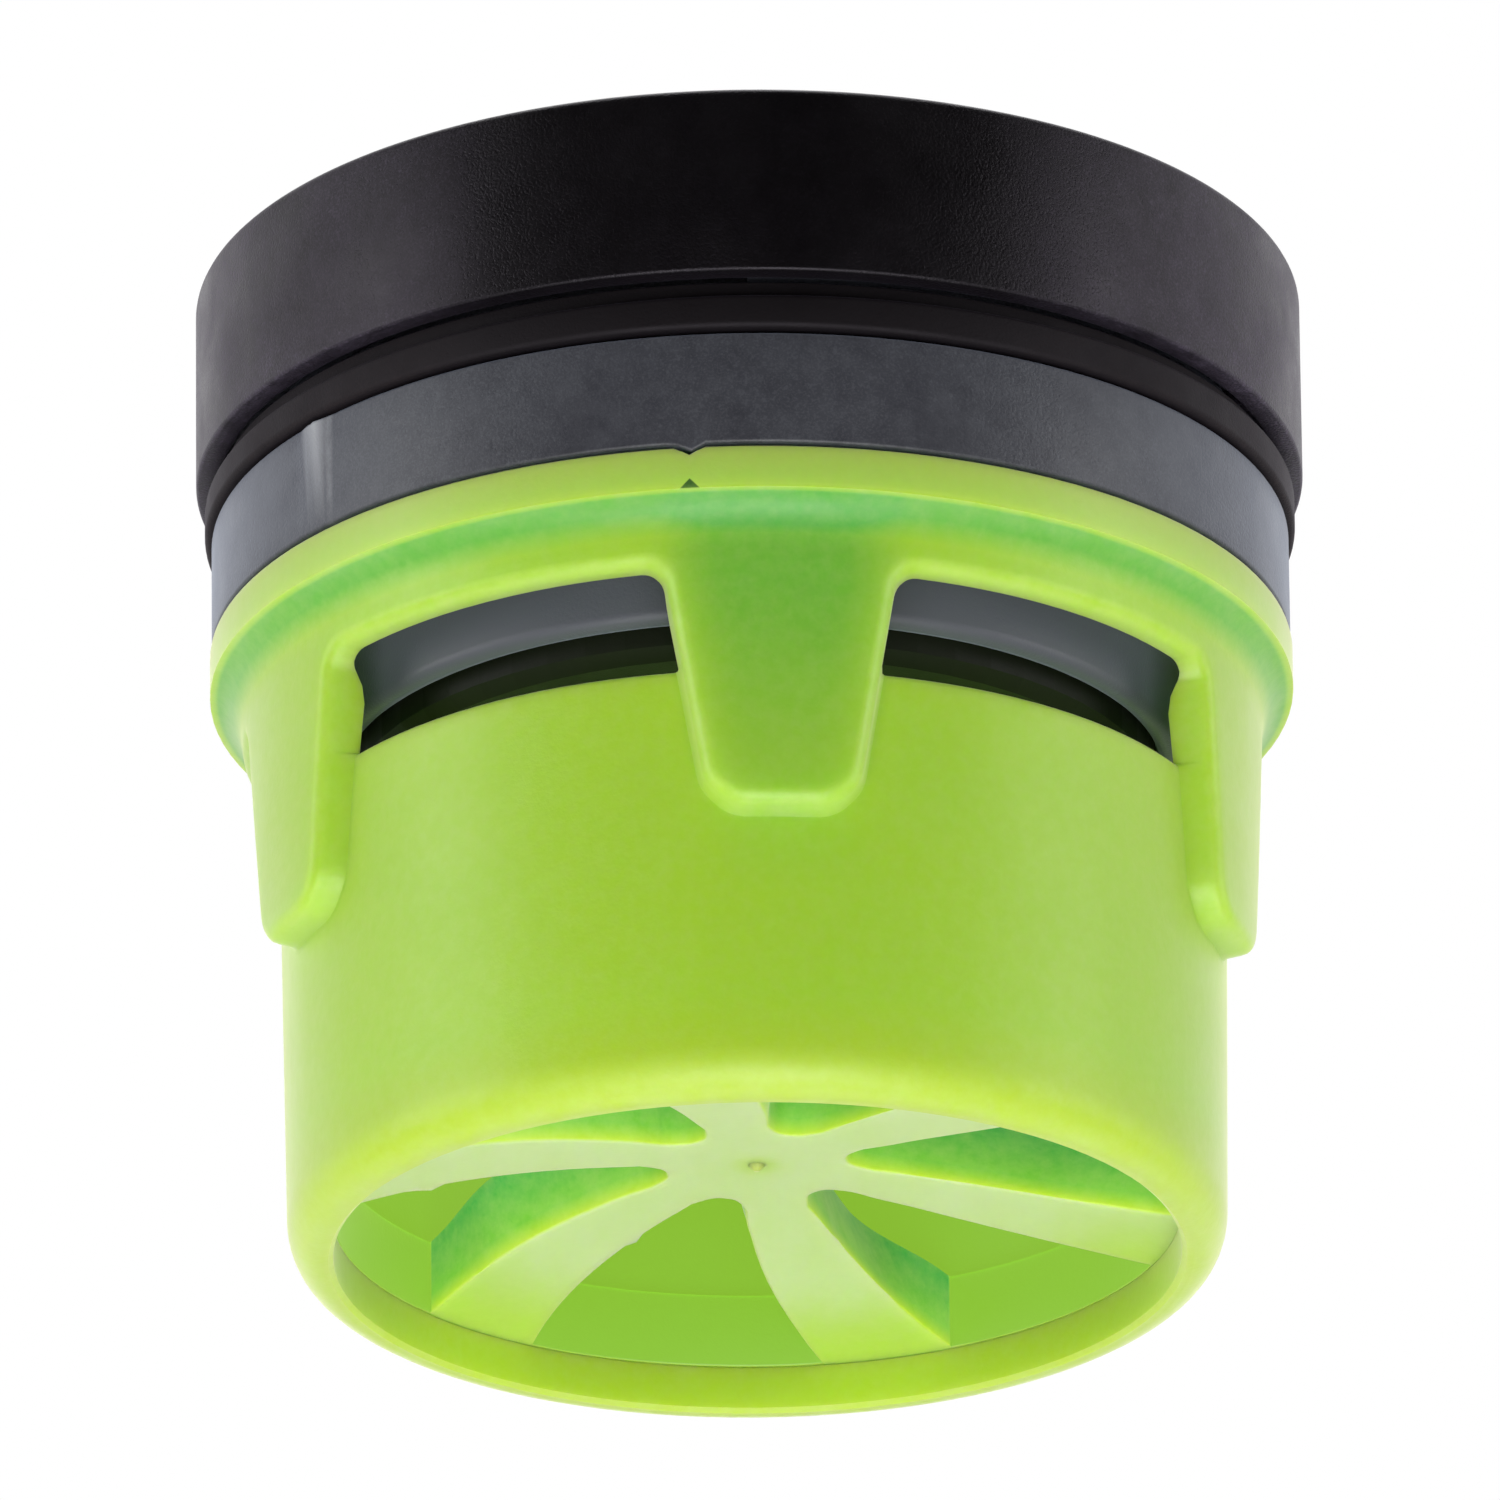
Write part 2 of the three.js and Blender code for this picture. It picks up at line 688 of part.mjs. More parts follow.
function bail() {
  const section = new THREE.Shape();
  section.absarc(0, 0, bailRadius, 0, 2 * Math.PI);
  const settings = { steps: 20, curveSegments: 8, extrudePath: bailPath() };
  const hoop = solidOf(new THREE.ExtrudeGeometry(section, settings));
  const half = bailEyeWidth / 2;
  const eyes = [-1, 1].map((side) => {
    const centre = side * bailHalfWidth;
    const geometry = new THREE.CylinderGeometry(bailEyeRadius, bailEyeRadius, bailEyeWidth, 16);
    geometry.rotateZ(Math.PI / 2).translate(centre, 0, pivotHeight);
    return solidOf(geometry);
  });
  const holes = [-1, 1].map((side) => {
    const centre = side * bailHalfWidth;
    return pinAlongX(pinRadius + pieceGap, centre - half - 1, centre + half + 1);
  });
  return cut(join(hoop, ...eyes), ...holes);
}

place('hanger_bail', bail(), blackPlastic);
place('hanger_pin_right', pinAlongX(pinRadius, bailHalfWidth - pinReach, pinOuter), steel);
place('hanger_pin_left', pinAlongX(pinRadius, -pinOuter, -(bailHalfWidth - pinReach)), steel);

export default trap;
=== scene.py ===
import math
import random
import bmesh
import bpy
from mathutils import Matrix, Vector


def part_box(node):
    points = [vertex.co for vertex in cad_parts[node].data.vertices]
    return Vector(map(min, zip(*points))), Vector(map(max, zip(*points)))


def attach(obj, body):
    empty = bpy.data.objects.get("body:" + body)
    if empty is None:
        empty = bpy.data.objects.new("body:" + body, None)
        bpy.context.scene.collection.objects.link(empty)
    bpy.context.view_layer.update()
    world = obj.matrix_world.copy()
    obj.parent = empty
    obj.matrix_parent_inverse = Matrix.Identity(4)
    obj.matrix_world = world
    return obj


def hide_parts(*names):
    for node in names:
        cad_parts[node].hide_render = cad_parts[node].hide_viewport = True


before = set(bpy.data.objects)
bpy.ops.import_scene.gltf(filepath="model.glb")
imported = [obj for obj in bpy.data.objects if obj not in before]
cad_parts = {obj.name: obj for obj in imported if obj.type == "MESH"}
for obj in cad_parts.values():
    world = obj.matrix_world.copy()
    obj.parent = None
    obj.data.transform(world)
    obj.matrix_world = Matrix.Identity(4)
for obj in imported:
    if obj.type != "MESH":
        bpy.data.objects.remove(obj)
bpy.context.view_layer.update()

random.seed(11)
mm = 0.001


def nodeSize(name):
    # lowest height, highest height and outer radius of a CAD node
    low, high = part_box(name)
    return low.z, high.z, high.x


housingLow, housingTop, lipRadius = nodeSize("entry_housing")
grilleLow, _, grilleRadius = nodeSize("vane_grille")
skirtLow, neckTop, collarRadius = nodeSize("collar_ring")
bandLow, bandTop, bandRadius = nodeSize("seal_band")
capLow, capTop, capRadius = nodeSize("cap_shell")


# camera: below the front, through a long lens
camera = {
    "lens": 585.4, "sensor": 36.0, "distance": 44.234, "elevation": 0.4093,
    "pitch": 0.3913, "yaw": -0.0001, "roll": -0.0108,
}


def makeCamera():
    c = camera
    reach = c["distance"] * capRadius
    place = Vector((0, -reach * math.cos(c["elevation"]), capTop - reach * math.sin(c["elevation"])))
    ahead = Vector((math.sin(c["yaw"]) * math.cos(c["pitch"]), math.cos(c["yaw"]) * math.cos(c["pitch"]),
                    math.sin(c["pitch"])))
    right = ahead.cross(Vector((0, 0, 1))).normalized()
    up = right.cross(ahead)
    tiltedRight = math.cos(c["roll"]) * right + math.sin(c["roll"]) * up
    tiltedUp = math.cos(c["roll"]) * up - math.sin(c["roll"]) * right
    data = bpy.data.cameras.new("camera")
    data.lens = c["lens"]
    data.sensor_width = c["sensor"]
    data.clip_end = 20
    obj = bpy.data.objects.new("camera", data)
    bpy.context.scene.collection.objects.link(obj)
    turn = Matrix((tiltedRight, tiltedUp, -ahead)).transposed()
    obj.matrix_world = Matrix.Translation(place) @ turn.to_4x4()
    bpy.context.scene.camera = obj


makeCamera()
print("camera set")

bpy.context.scene.view_settings.view_transform = "Standard"  # plain colours, as a product shot


# shader groups shared by the materials

def newGroup(name, inputs, outputs):
    group = bpy.data.node_groups.new(name, "ShaderNodeTree")
    for label, kind, value in inputs:
        socket = group.interface.new_socket(name=label, in_out="INPUT", socket_type=kind)
        socket.default_value = value
    for label, kind in outputs:
        group.interface.new_socket(name=label, in_out="OUTPUT", socket_type=kind)
    return group, group.nodes.new("NodeGroupInput"), group.nodes.new("NodeGroupOutput")


def setInputs(node, values):
    for key, value in values.items():
        node.inputs[key].default_value = value


def addNode(tree, kind, values=None, **settings):
    node = tree.nodes.new(kind)
    for key, value in settings.items():
        setattr(node, key, value)
    setInputs(node, values or {})
    return node


def plug(tree, socket, value):
    # a socket takes another node's output or a plain value
    if isinstance(value, bpy.types.NodeSocket):
        tree.links.new(value, socket)
    else:
        socket.default_value = value


def objectNoise(tree, scale, detail=3.0, roughness=0.55, stretch=(1, 1, 1)):
    coords = addNode(tree, "ShaderNodeTexCoord")
    mapping = addNode(tree, "ShaderNodeMapping", {"Scale": stretch})
    noise = addNode(tree, "ShaderNodeTexNoise", {"Scale": scale, "Detail": detail, "Roughness": roughness})
    tree.links.new(coords.outputs["Object"], mapping.inputs["Vector"])
    tree.links.new(mapping.outputs["Vector"], noise.inputs["Vector"])
    return noise.outputs["Fac"]


def ramp(tree, source, low, high, invert=False):
    # maps low..high to 0..1, clamped
    start, end = (1.0, 0.0) if invert else (0.0, 1.0)
    node = addNode(tree, "ShaderNodeMapRange",
                   {"From Min": low, "From Max": high, "To Min": start, "To Max": end})
    tree.links.new(source, node.inputs["Value"])
    return node.outputs["Result"]


def compute(tree, operation, *values, clamp=False):
    node = addNode(tree, "ShaderNodeMath", operation=operation, use_clamp=clamp)
    for socket, value in zip(node.inputs, values):
        plug(tree, socket, value)
    return node.outputs[0]


def product(tree, first, second):
    return compute(tree, "MULTIPLY", first, second)


def total(tree, first, second):
    return compute(tree, "ADD", first, second, clamp=True)


def blendColor(tree, mask, first, second):
    # inputs 6 and 7 and output 2 are the node's colour sockets
    node = addNode(tree, "ShaderNodeMix", data_type="RGBA")
    for index, value in ((0, mask), (6, first), (7, second)):
        plug(tree, node.inputs[index], value)
    return node.outputs[2]


def readAttribute(tree, name):
    return addNode(tree, "ShaderNodeAttribute", attribute_name=name).outputs["Fac"]


def splitVector(tree, vector):
    node = addNode(tree, "ShaderNodeSeparateXYZ")
    tree.links.new(vector, node.inputs[0])
    return node.outputs


def splitPlace(tree):
    # the shaded point's place, as X, Y and Z
    return splitVector(tree, addNode(tree, "ShaderNodeTexCoord").outputs["Object"])


def alongLine(tree, place, x, y):
    node = addNode(tree, "ShaderNodeVectorMath", {1: (x, y, 0)}, operation="DOT_PRODUCT")
    tree.links.new(place, node.inputs[0])
    return node.outputs["Value"]


def sideways(tree, turn):
    # distance either side of an angle round the axis, and a mask of the outer wall at that angle
    place = addNode(tree, "ShaderNodeTexCoord").outputs["Object"]
    across = alongLine(tree, place, math.cos(turn), math.sin(turn))
    ahead = alongLine(tree, place, math.sin(turn), -math.cos(turn))
    return compute(tree, "ABSOLUTE", across), ramp(tree, ahead, 30 * mm, 31 * mm)


def linear(red, green, blue):
    # display values 0..255 to the renderer's linear colour, by the standard display curve
    shares = []
    for share in (red / 255, green / 255, blue / 255):
        shares.append(share / 12.92 if share < 0.04045 else ((share + 0.055) / 1.055) ** 2.4)
    return (*shares, 1.0)


def makeMouldedSurface():
    # spark-eroded mould texture: fine grain, faint flow marks and the roughness that goes with them
    group, inside, outside = newGroup(
        "mouldedSurface",
        [("Grain", "NodeSocketFloat", 0.1), ("Grain Scale", "NodeSocketFloat", 2600.0),
         ("Roughness", "NodeSocketFloat", 0.5), ("Spread", "NodeSocketFloat", 0.08)],
        [("Normal", "NodeSocketVector"), ("Roughness", "NodeSocketFloat")])
    coords = addNode(group, "ShaderNodeTexCoord")
    fine = addNode(group, "ShaderNodeTexNoise", {"Detail": 2.0, "Roughness": 0.6})
    group.links.new(coords.outputs["Object"], fine.inputs["Vector"])
    group.links.new(inside.outputs["Grain Scale"], fine.inputs["Scale"])
    flow = objectNoise(group, 55.0, 4.0, 0.6, (1, 1, 0.35))
    height = total(group, fine.outputs["Fac"], product(group, flow, 0.9))
    bump = addNode(group, "ShaderNodeBump", {"Distance": 0.00012})
    group.links.new(inside.outputs["Grain"], bump.inputs["Strength"])
    group.links.new(height, bump.inputs["Height"])
    group.links.new(bump.outputs["Normal"], outside.inputs["Normal"])
    patches = ramp(group, objectNoise(group, 140.0, 5.0, 0.65), 0.3, 0.7)
    spread = product(group, patches, inside.outputs["Spread"])
    group.links.new(total(group, spread, inside.outputs["Roughness"]), outside.inputs["Roughness"])
    return group


def makeSettledDust():
    # dust mask: pale specks everywhere, more of them along edges and in patches
    group, inside, outside = newGroup(
        "settledDust",
        [("Amount", "NodeSocketFloat", 0.3), ("Edge", "NodeSocketFloat", 0.0)],
        [("Mask", "NodeSocketFloat")])
    coarse = ramp(group, objectNoise(group, 2100.0, 2.0, 0.7), 0.60, 0.78)
    fine = ramp(group, objectNoise(group, 5200.0, 2.0, 0.6), 0.46, 0.74)
    specks = total(group, coarse, product(group, fine, 0.8))
    patches = ramp(group, objectNoise(group, 60.0, 5.0, 0.6), 0.35, 0.75)
    film = product(group, patches, 0.25)
    gathered = total(group, product(group, specks, total(group, patches, 0.35)), film)
    edgeLit = total(group, gathered, product(group, inside.outputs["Edge"], 0.8))
    group.links.new(product(group, edgeLit, inside.outputs["Amount"]), outside.inputs["Mask"])
    return group


def makeEdgeMask():
    # how strongly a vertex sits on an outward edge, broken up by noise
    group, _, outside = newGroup("edgeMask", [], [("Mask", "NodeSocketFloat")])
    broken = ramp(group, objectNoise(group, 420.0, 4.0, 0.7), 0.3, 0.65)
    group.links.new(product(group, readAttribute(group, "edge"), broken), outside.inputs["Mask"])
    return group


shared = {"surface": makeMouldedSurface(), "dust": makeSettledDust(), "edge": makeEdgeMask()}


def groupNode(tree, key, values=None):
    return addNode(tree, "ShaderNodeGroup", values, node_tree=shared[key])


def useSurface(tree, surface, shader):
    for key in ("Roughness", "Normal"):
        tree.links.new(surface.outputs[key], shader.inputs[key])


def newMaterial(name):
    material = bpy.data.materials.new(name)
    material.use_nodes = True
    tree = material.node_tree
    return material, tree, tree.nodes["Principled BSDF"]


# finishes

lime = {
    # own green; a darker green for painted shade, also the random cloud; a paler one for random mottle and
    # painted highlights
    "body": linear(169, 209, 50), "shadeAndCloudGreen": linear(86, 178, 60), "paleAndHighlight": linear(200, 222, 134),
    # a teal for painted shade up the vanes, a middle green for them, a warm one for painted glow at thin
    # walls
    "tealShade": linear(52, 168, 80), "inside": linear(118, 190, 62), "throughGlow": linear(182, 206, 42),
    # a dark green for the arrow recess's painted shade, a pale one for painted sheen under the vanes, and the
    # painted glow inside with its dimmed base
    "mark": linear(38, 88, 30), "bloomAndSheen": linear(208, 224, 184), "lit": linear(134, 182, 50),
    "dim": linear(40, 78, 12), "roughness": 0.38, "spread": 0.10, "grain": 0.14, "grainScale": 2400.0,
    "glow": 0.62, "glowReach": 0.005, "glowColor": (0.7, 1.0, 0.22), "density": 1.49,
    "sheenWeight": 0.62, "sheenRoughness": 0.35, "sheenTint": linear(248, 242, 218),
    "ribShade": 0.64, "frameShade": 0.05, "hollowShade": 0.80, "lipHighlight": 0.30, "footGlowShare": 0.75,
    "cloud": 0.12, "mottle": 0.12, "edgeHighlight": 0.20, "streaks": 0.20, "vaneGlow": 0.12,
}
limeZones = {  # where each shade fades in and out, in millimetres below the top
    "underLip": (5.8, 5.65), "rib": (38, 13), "frame": (15, 10), "hollow": (8.6, 6.8), "lip": (5.65, 5.4),
    "arrow": (5.68, 5.60), "arrowTip": 4.75, "arrowEdge": 0.12, "arrowSlope": 1.06, "arrowTurn": -6.2,
    "foot": (1, 8), "boreFoot": (3.95, 4.1),  # above the foot
    "front": (-36, -24),  # along Y
    "ringWall": (1.3, 1.1), "bore": 8.0, "boreEdge": 0.1,  # in from the grille's and the lip's outside
}


def belowTop(tree, height, zone, invert=False):
    start, end = limeZones[zone]
    return ramp(tree, height, housingTop - start * mm, housingTop - end * mm, invert)


def aboveFoot(tree, height, zone, invert=False):
    start, end = limeZones[zone]
    return ramp(tree, height, housingLow + start * mm, housingLow + end * mm, invert)


def limeMarks(tree, place, base):
    # painted shade: deeper green on the front ribs, under the lip and in the arrow recess below the notch;
    # painted glow warms the foot
    height, zones = place["Z"], limeZones
    rib = readAttribute(tree, "rib")
    between = compute(tree, "SUBTRACT", 1.0, rib)
    # the ribs' painted shade is kept to the front of the housing
    front = ramp(tree, place["Y"], zones["front"][0] * mm, zones["front"][1] * mm, True)
    onRib = product(tree, product(tree, belowTop(tree, height, "rib"), rib),
                    product(tree, front, lime["ribShade"]))
    onFrame = product(tree, product(tree, belowTop(tree, height, "frame"), between), lime["frameShade"])
    hollow = product(tree, belowTop(tree, height, "hollow"), lime["hollowShade"])
    shade = product(tree, total(tree, total(tree, onRib, onFrame), hollow),
                    belowTop(tree, height, "underLip", True))
    cloud = ramp(tree, objectNoise(tree, 34.0, 3.0, 0.5), 0.35, 0.75)
    shaded = blendColor(tree, total(tree, shade, product(tree, cloud, lime["cloud"])), base, lime["shadeAndCloudGreen"])
    # painted highlight: the lip's face is paler
    lipLit = product(tree, belowTop(tree, height, "lip"), lime["lipHighlight"])
    shaded = blendColor(tree, lipLit, shaded, lime["paleAndHighlight"])
    # painted glow: warmer green near the foot, where light comes through the thin wall
    footGlow = product(tree, aboveFoot(tree, height, "foot", True), lime["footGlowShare"])
    withFootGlow = blendColor(tree, footGlow, shaded, lime["throughGlow"])
    # the arrow recess, drawn as painted shade: two slopes that meet at its tip
    across, onFront = sideways(tree, math.radians(zones["arrowTurn"]))
    slope = product(tree, across, zones["arrowSlope"])
    tip = compute(tree, "SUBTRACT", housingTop - zones["arrowTip"] * mm, slope)
    under = compute(tree, "SUBTRACT", tip, height)
    arrow = product(tree, ramp(tree, under, 0, zones["arrowEdge"] * mm), belowTop(tree, height, "arrow"))
    return blendColor(tree, product(tree, arrow, onFront), withFootGlow, lime["mark"])


def vaneGlowAndShade(tree, place, base):
    # painted glow warms the thin lower edges; greener and then teal painted shade up the sides of the vanes
    depth = readAttribute(tree, "depth")
    lower = blendColor(tree, ramp(tree, depth, 0.0, 0.25), lime["throughGlow"], lime["inside"])
    upper = blendColor(tree, ramp(tree, depth, 0.3, 0.9), lower, lime["tealShade"])
    return blendColor(tree, ramp(tree, depth, 0.0, 0.04), base, upper)


def throughLight(tree, place, down, isVane, color):
    # daylight soaking through the wall: inner walls keep an even green, vane sides glow a little
    flat = addNode(tree, "ShaderNodeCombineXYZ")
    tree.links.new(place["X"], flat.inputs[0])
    tree.links.new(place["Y"], flat.inputs[1])
    reach = addNode(tree, "ShaderNodeVectorMath", operation="LENGTH")
    tree.links.new(flat.outputs[0], reach.inputs[0])
    radius, zones = reach.outputs["Value"], limeZones
    if isVane:
        start, end = zones["ringWall"]
        upright = ramp(tree, down, 0.0, 0.5, True)
        inner = product(tree, ramp(tree, radius, grilleRadius - start * mm, grilleRadius - end * mm), upright)
        glow = total(tree, product(tree, upright, lime["vaneGlow"]), inner)
    else:
        bore = lipRadius - zones["bore"] * mm
        inner = product(tree, ramp(tree, radius, bore, bore + zones["boreEdge"] * mm, True),
                        aboveFoot(tree, place["Z"], "boreFoot"))
        glow = inner
    dimmed = blendColor(tree, inner, color, lime["dim"])
    source = blendColor(tree, inner, color, lime["lit"])
    return dimmed, blendColor(tree, glow, linear(0, 0, 0), source)


def makeLime(name, shadeBase, underside):
    material, tree, shader = newMaterial(name)
    surface = groupNode(tree, "surface", {"Grain": lime["grain"], "Grain Scale": lime["grainScale"],
                                          "Roughness": lime["roughness"], "Spread": lime["spread"]})
    edge = groupNode(tree, "edge").outputs["Mask"]
    place = splitPlace(tree)
    base = shadeBase(tree, place, lime["body"])
    mottle = ramp(tree, objectNoise(tree, 900.0, 3.0, 0.6), 0.35, 0.70)
    grained = blendColor(tree, product(tree, mottle, lime["mottle"]), base, lime["paleAndHighlight"])
    # painted highlight: paler along outward edges
    edgeLit = blendColor(tree, product(tree, edge, lime["edgeHighlight"]), grained, lime["paleAndHighlight"])
    # painted sheen on faces that point down, in streaks, weaker where the fade attribute is high
    normal = splitVector(tree, addNode(tree, "ShaderNodeNewGeometry").outputs["Normal"])
    down = ramp(tree, normal["Z"], -0.55, -0.95)
    streaks = ramp(tree, objectNoise(tree, 300.0, 3.0, 0.6, (1, 0.3, 1)), 0.25, 0.75)
    sheenKept = compute(tree, "SUBTRACT", 1.0, readAttribute(tree, "fade"), clamp=True)
    downSheen = product(tree, product(tree, down, sheenKept),
                      total(tree, product(tree, streaks, lime["streaks"]), underside))
    downSheenColor = blendColor(tree, downSheen, edgeLit, lime["bloomAndSheen"])
    final, glow = throughLight(tree, place, down, name == "limeVanes", downSheenColor)
    tree.links.new(glow, shader.inputs["Emission Color"])
    tree.links.new(final, shader.inputs["Base Color"])
    useSurface(tree, surface, shader)
    setInputs(shader, {
        "Emission Strength": 1.0, "IOR": lime["density"],
        "Subsurface Weight": lime["glow"], "Subsurface Radius": lime["glowColor"],
        "Subsurface Scale": lime["glowReach"], "Sheen Weight": lime["sheenWeight"],
        "Sheen Roughness": lime["sheenRoughness"], "Sheen Tint": lime["sheenTint"],
    })
    return material


grey = {
    "body": linear(41, 40, 46), "shade": linear(33, 32, 37), "dust": linear(150, 154, 160),
    "skirt": linear(82, 83, 92), "seam": linear(176, 178, 182), "roughness": 0.40, "spread": 0.12,
    "grain": 0.40, "grainScale": 3600.0, "cloud": 0.5, "dustAmount": 0.14, "density": 1.47,
    "sheenWeight": 0.52, "sheenTint": linear(206, 216, 240),
    "seamTurn": -50.2, "seamHalf": (0.15, 0.45), "seamStrength": 0.14, "flashStrength": 0.8,
    "bandFoot": (23, 21),  # millimetres below the neck's top
}


def makeGrey():
    material, tree, shader = newMaterial("greyPlastic")
    surface = groupNode(tree, "surface", {"Grain": grey["grain"], "Grain Scale": grey["grainScale"],
                                          "Roughness": grey["roughness"], "Spread": grey["spread"]})
    dust = groupNode(tree, "dust", {"Amount": grey["dustAmount"]})
    tree.links.new(groupNode(tree, "edge").outputs["Mask"], dust.inputs["Edge"])
    cloud = ramp(tree, objectNoise(tree, 48.0, 4.0, 0.55), 0.35, 0.7)
    base = blendColor(tree, product(tree, cloud, grey["cloud"]), grey["body"], grey["shade"])
    dusted = blendColor(tree, dust.outputs["Mask"], base, grey["dust"])
    # painted light: the skirt, seen through the windows, is painted paler than the band; the mould's witness
    # line and the crumb of flash are on the band
    start, end = grey["bandFoot"]
    onBand = ramp(tree, splitPlace(tree)["Z"], neckTop - start * mm, neckTop - end * mm)
    skirtLitTone = blendColor(tree, onBand, grey["skirt"], dusted)
    start, end = grey["seamHalf"]
    across, front = sideways(tree, math.radians(grey["seamTurn"]))
    worn = ramp(tree, objectNoise(tree, 700.0, 3.0, 0.6), 0.30, 0.60)
    seam = product(tree, product(tree, ramp(tree, across, start * mm, end * mm, True), front),
                   product(tree, worn, grey["seamStrength"]))
    crumb = product(tree, readAttribute(tree, "flash"), grey["flashStrength"])
    marks = total(tree, product(tree, seam, onBand), crumb)
    tree.links.new(blendColor(tree, marks, skirtLitTone, grey["seam"]), shader.inputs["Base Color"])
    useSurface(tree, surface, shader)
    setInputs(shader, {"Sheen Weight": grey["sheenWeight"], "Sheen Tint": grey["sheenTint"],
                       "IOR": grey["density"]})
    return material


black = {  # name: body, dust colour, dust, roughness, grain
    "cap": (linear(4, 3, 3), linear(116, 106, 126), 0.55, 0.32, 0.60),
    # the cup's olive tint in body and dust is a painted reflection of the green housing round it
    "cup": (linear(24, 30, 14), linear(84, 92, 62), 0.14, 0.50, 0.20),
    "hanger": (linear(8, 8, 8), linear(96, 92, 98), 0.14, 0.45, 0.20),
    "rubber": (linear(7, 4, 4), linear(100, 82, 80), 0.12, 0.60, 0.40),
}
blackShared = {
    "grainScale": 4200.0, "spread": 0.14, "edgeDust": 0.4, "dustDulls": 0.5, "density": 1.45,
    "sideSheenStart": 20, "sideSheenFull": 43,  # millimetres either side of the middle
    "sideDustAndSheen": 0.97, "middleDustAndSheen": 0.03, "specular": 0.34, "specularTint": (0.95, 0.88, 1.0, 1.0),
    "sheenWeight": 0.05, "sheenRoughness": 0.4, "sheenTint": linear(222, 206, 244),
}


def makeBlack(key):
    body, dustColor, dustAmount, roughness, grain = black[key]
    s = blackShared
    material, tree, shader = newMaterial("black" + key.capitalize())
    surface = groupNode(tree, "surface", {"Grain": grain, "Grain Scale": s["grainScale"],
                                          "Roughness": roughness, "Spread": s["spread"]})
    dust = groupNode(tree, "dust", {"Amount": dustAmount})
    edge = groupNode(tree, "edge").outputs["Mask"]
    tree.links.new(product(tree, edge, s["edgeDust"]), dust.inputs["Edge"])
    # dust and painted sheen: the dust share grows from the middle to the left and right sides, where it also
    # stands for the lighter grazing reflections
    side = compute(tree, "ABSOLUTE", splitPlace(tree)["X"])
    sides = ramp(tree, side, s["sideSheenStart"] * mm, s["sideSheenFull"] * mm)
    share = total(tree, product(tree, sides, s["sideDustAndSheen"]), s["middleDustAndSheen"])
    dustAndSheen = product(tree, dust.outputs["Mask"], share)
    rough = total(tree, surface.outputs["Roughness"], product(tree, dustAndSheen, s["dustDulls"]))
    tree.links.new(blendColor(tree, dustAndSheen, body, dustColor), shader.inputs["Base Color"])
    tree.links.new(rough, shader.inputs["Roughness"])
    tree.links.new(surface.outputs["Normal"], shader.inputs["Normal"])
    setInputs(shader, {
        "Specular Tint": s["specularTint"], "Specular IOR Level": s["specular"],
        "Sheen Weight": s["sheenWeight"], "Sheen Roughness": s["sheenRoughness"],
        "Sheen Tint": s["sheenTint"], "IOR": s["density"],
    })
    return material


inner = {  # colours of the parts inside, dark and light
    "ivory": (linear(222, 214, 194), linear(206, 197, 172)),
    "crumbs": (linear(146, 92, 30), linear(206, 160, 82)), "bloomAndSheen": linear(226, 205, 160),
    "steel": (linear(150, 152, 156), linear(196, 198, 201)),
    "mesh": (linear(20, 20, 22), linear(170, 172, 176)),
}


def addBump(tree, shader, height, strength, distance):
    bump = addNode(tree, "ShaderNodeBump", {"Strength": strength, "Distance": distance})
    tree.links.new(height, bump.inputs["Height"])
    tree.links.new(bump.outputs["Normal"], shader.inputs["Normal"])


def makeIvory():
    material, tree, shader = newMaterial("ivoryPlastic")
    surface = groupNode(tree, "surface", {"Grain": 0.10, "Roughness": 0.42, "Spread": 0.1})
    cloud = ramp(tree, objectNoise(tree, 90.0, 4.0, 0.6), 0.3, 0.7)
    tree.links.new(blendColor(tree, cloud, *inner["ivory"]), shader.inputs["Base Color"])
    useSurface(tree, surface, shader)
    setInputs(shader, {"Subsurface Weight": 0.1, "Subsurface Scale": 0.0015})
    return material


def makeBait():
    # pressed amber crumbs with a waxy bloom
    material, tree, shader = newMaterial("amberBait")
    coords = addNode(tree, "ShaderNodeTexCoord")
    crumbs = addNode(tree, "ShaderNodeTexVoronoi", {"Scale": 900.0, "Randomness": 1.0})
    tree.links.new(coords.outputs["Object"], crumbs.inputs["Vector"])
    tone = ramp(tree, crumbs.outputs["Distance"], 0.0, 0.7)
    bloomAndSheen = product(tree, ramp(tree, objectNoise(tree, 260.0, 5.0, 0.7), 0.45, 0.75), 0.5)
    base = blendColor(tree, tone, *inner["crumbs"])
    tree.links.new(blendColor(tree, bloomAndSheen, base, inner["bloomAndSheen"]), shader.inputs["Base Color"])
    addBump(tree, shader, crumbs.outputs["Distance"], 0.6, 0.4 * mm)
    setInputs(shader, {"Roughness": 0.62})
    return material


def makeSteel():
    # drawn wire: fine scratches round the length
    material, tree, shader = newMaterial("drawnSteel")
    scratches = objectNoise(tree, 1800.0, 4.0, 0.7, (0.05, 1, 1))
    tree.links.new(blendColor(tree, scratches, *inner["steel"]), shader.inputs["Base Color"])
    worn = ramp(tree, scratches, 0.2, 0.8)
    tree.links.new(total(tree, product(tree, worn, 0.2), 0.2), shader.inputs["Roughness"])
    addBump(tree, shader, scratches, 0.15, 0.05 * mm)
    setInputs(shader, {"Metallic": 1.0})
    return material


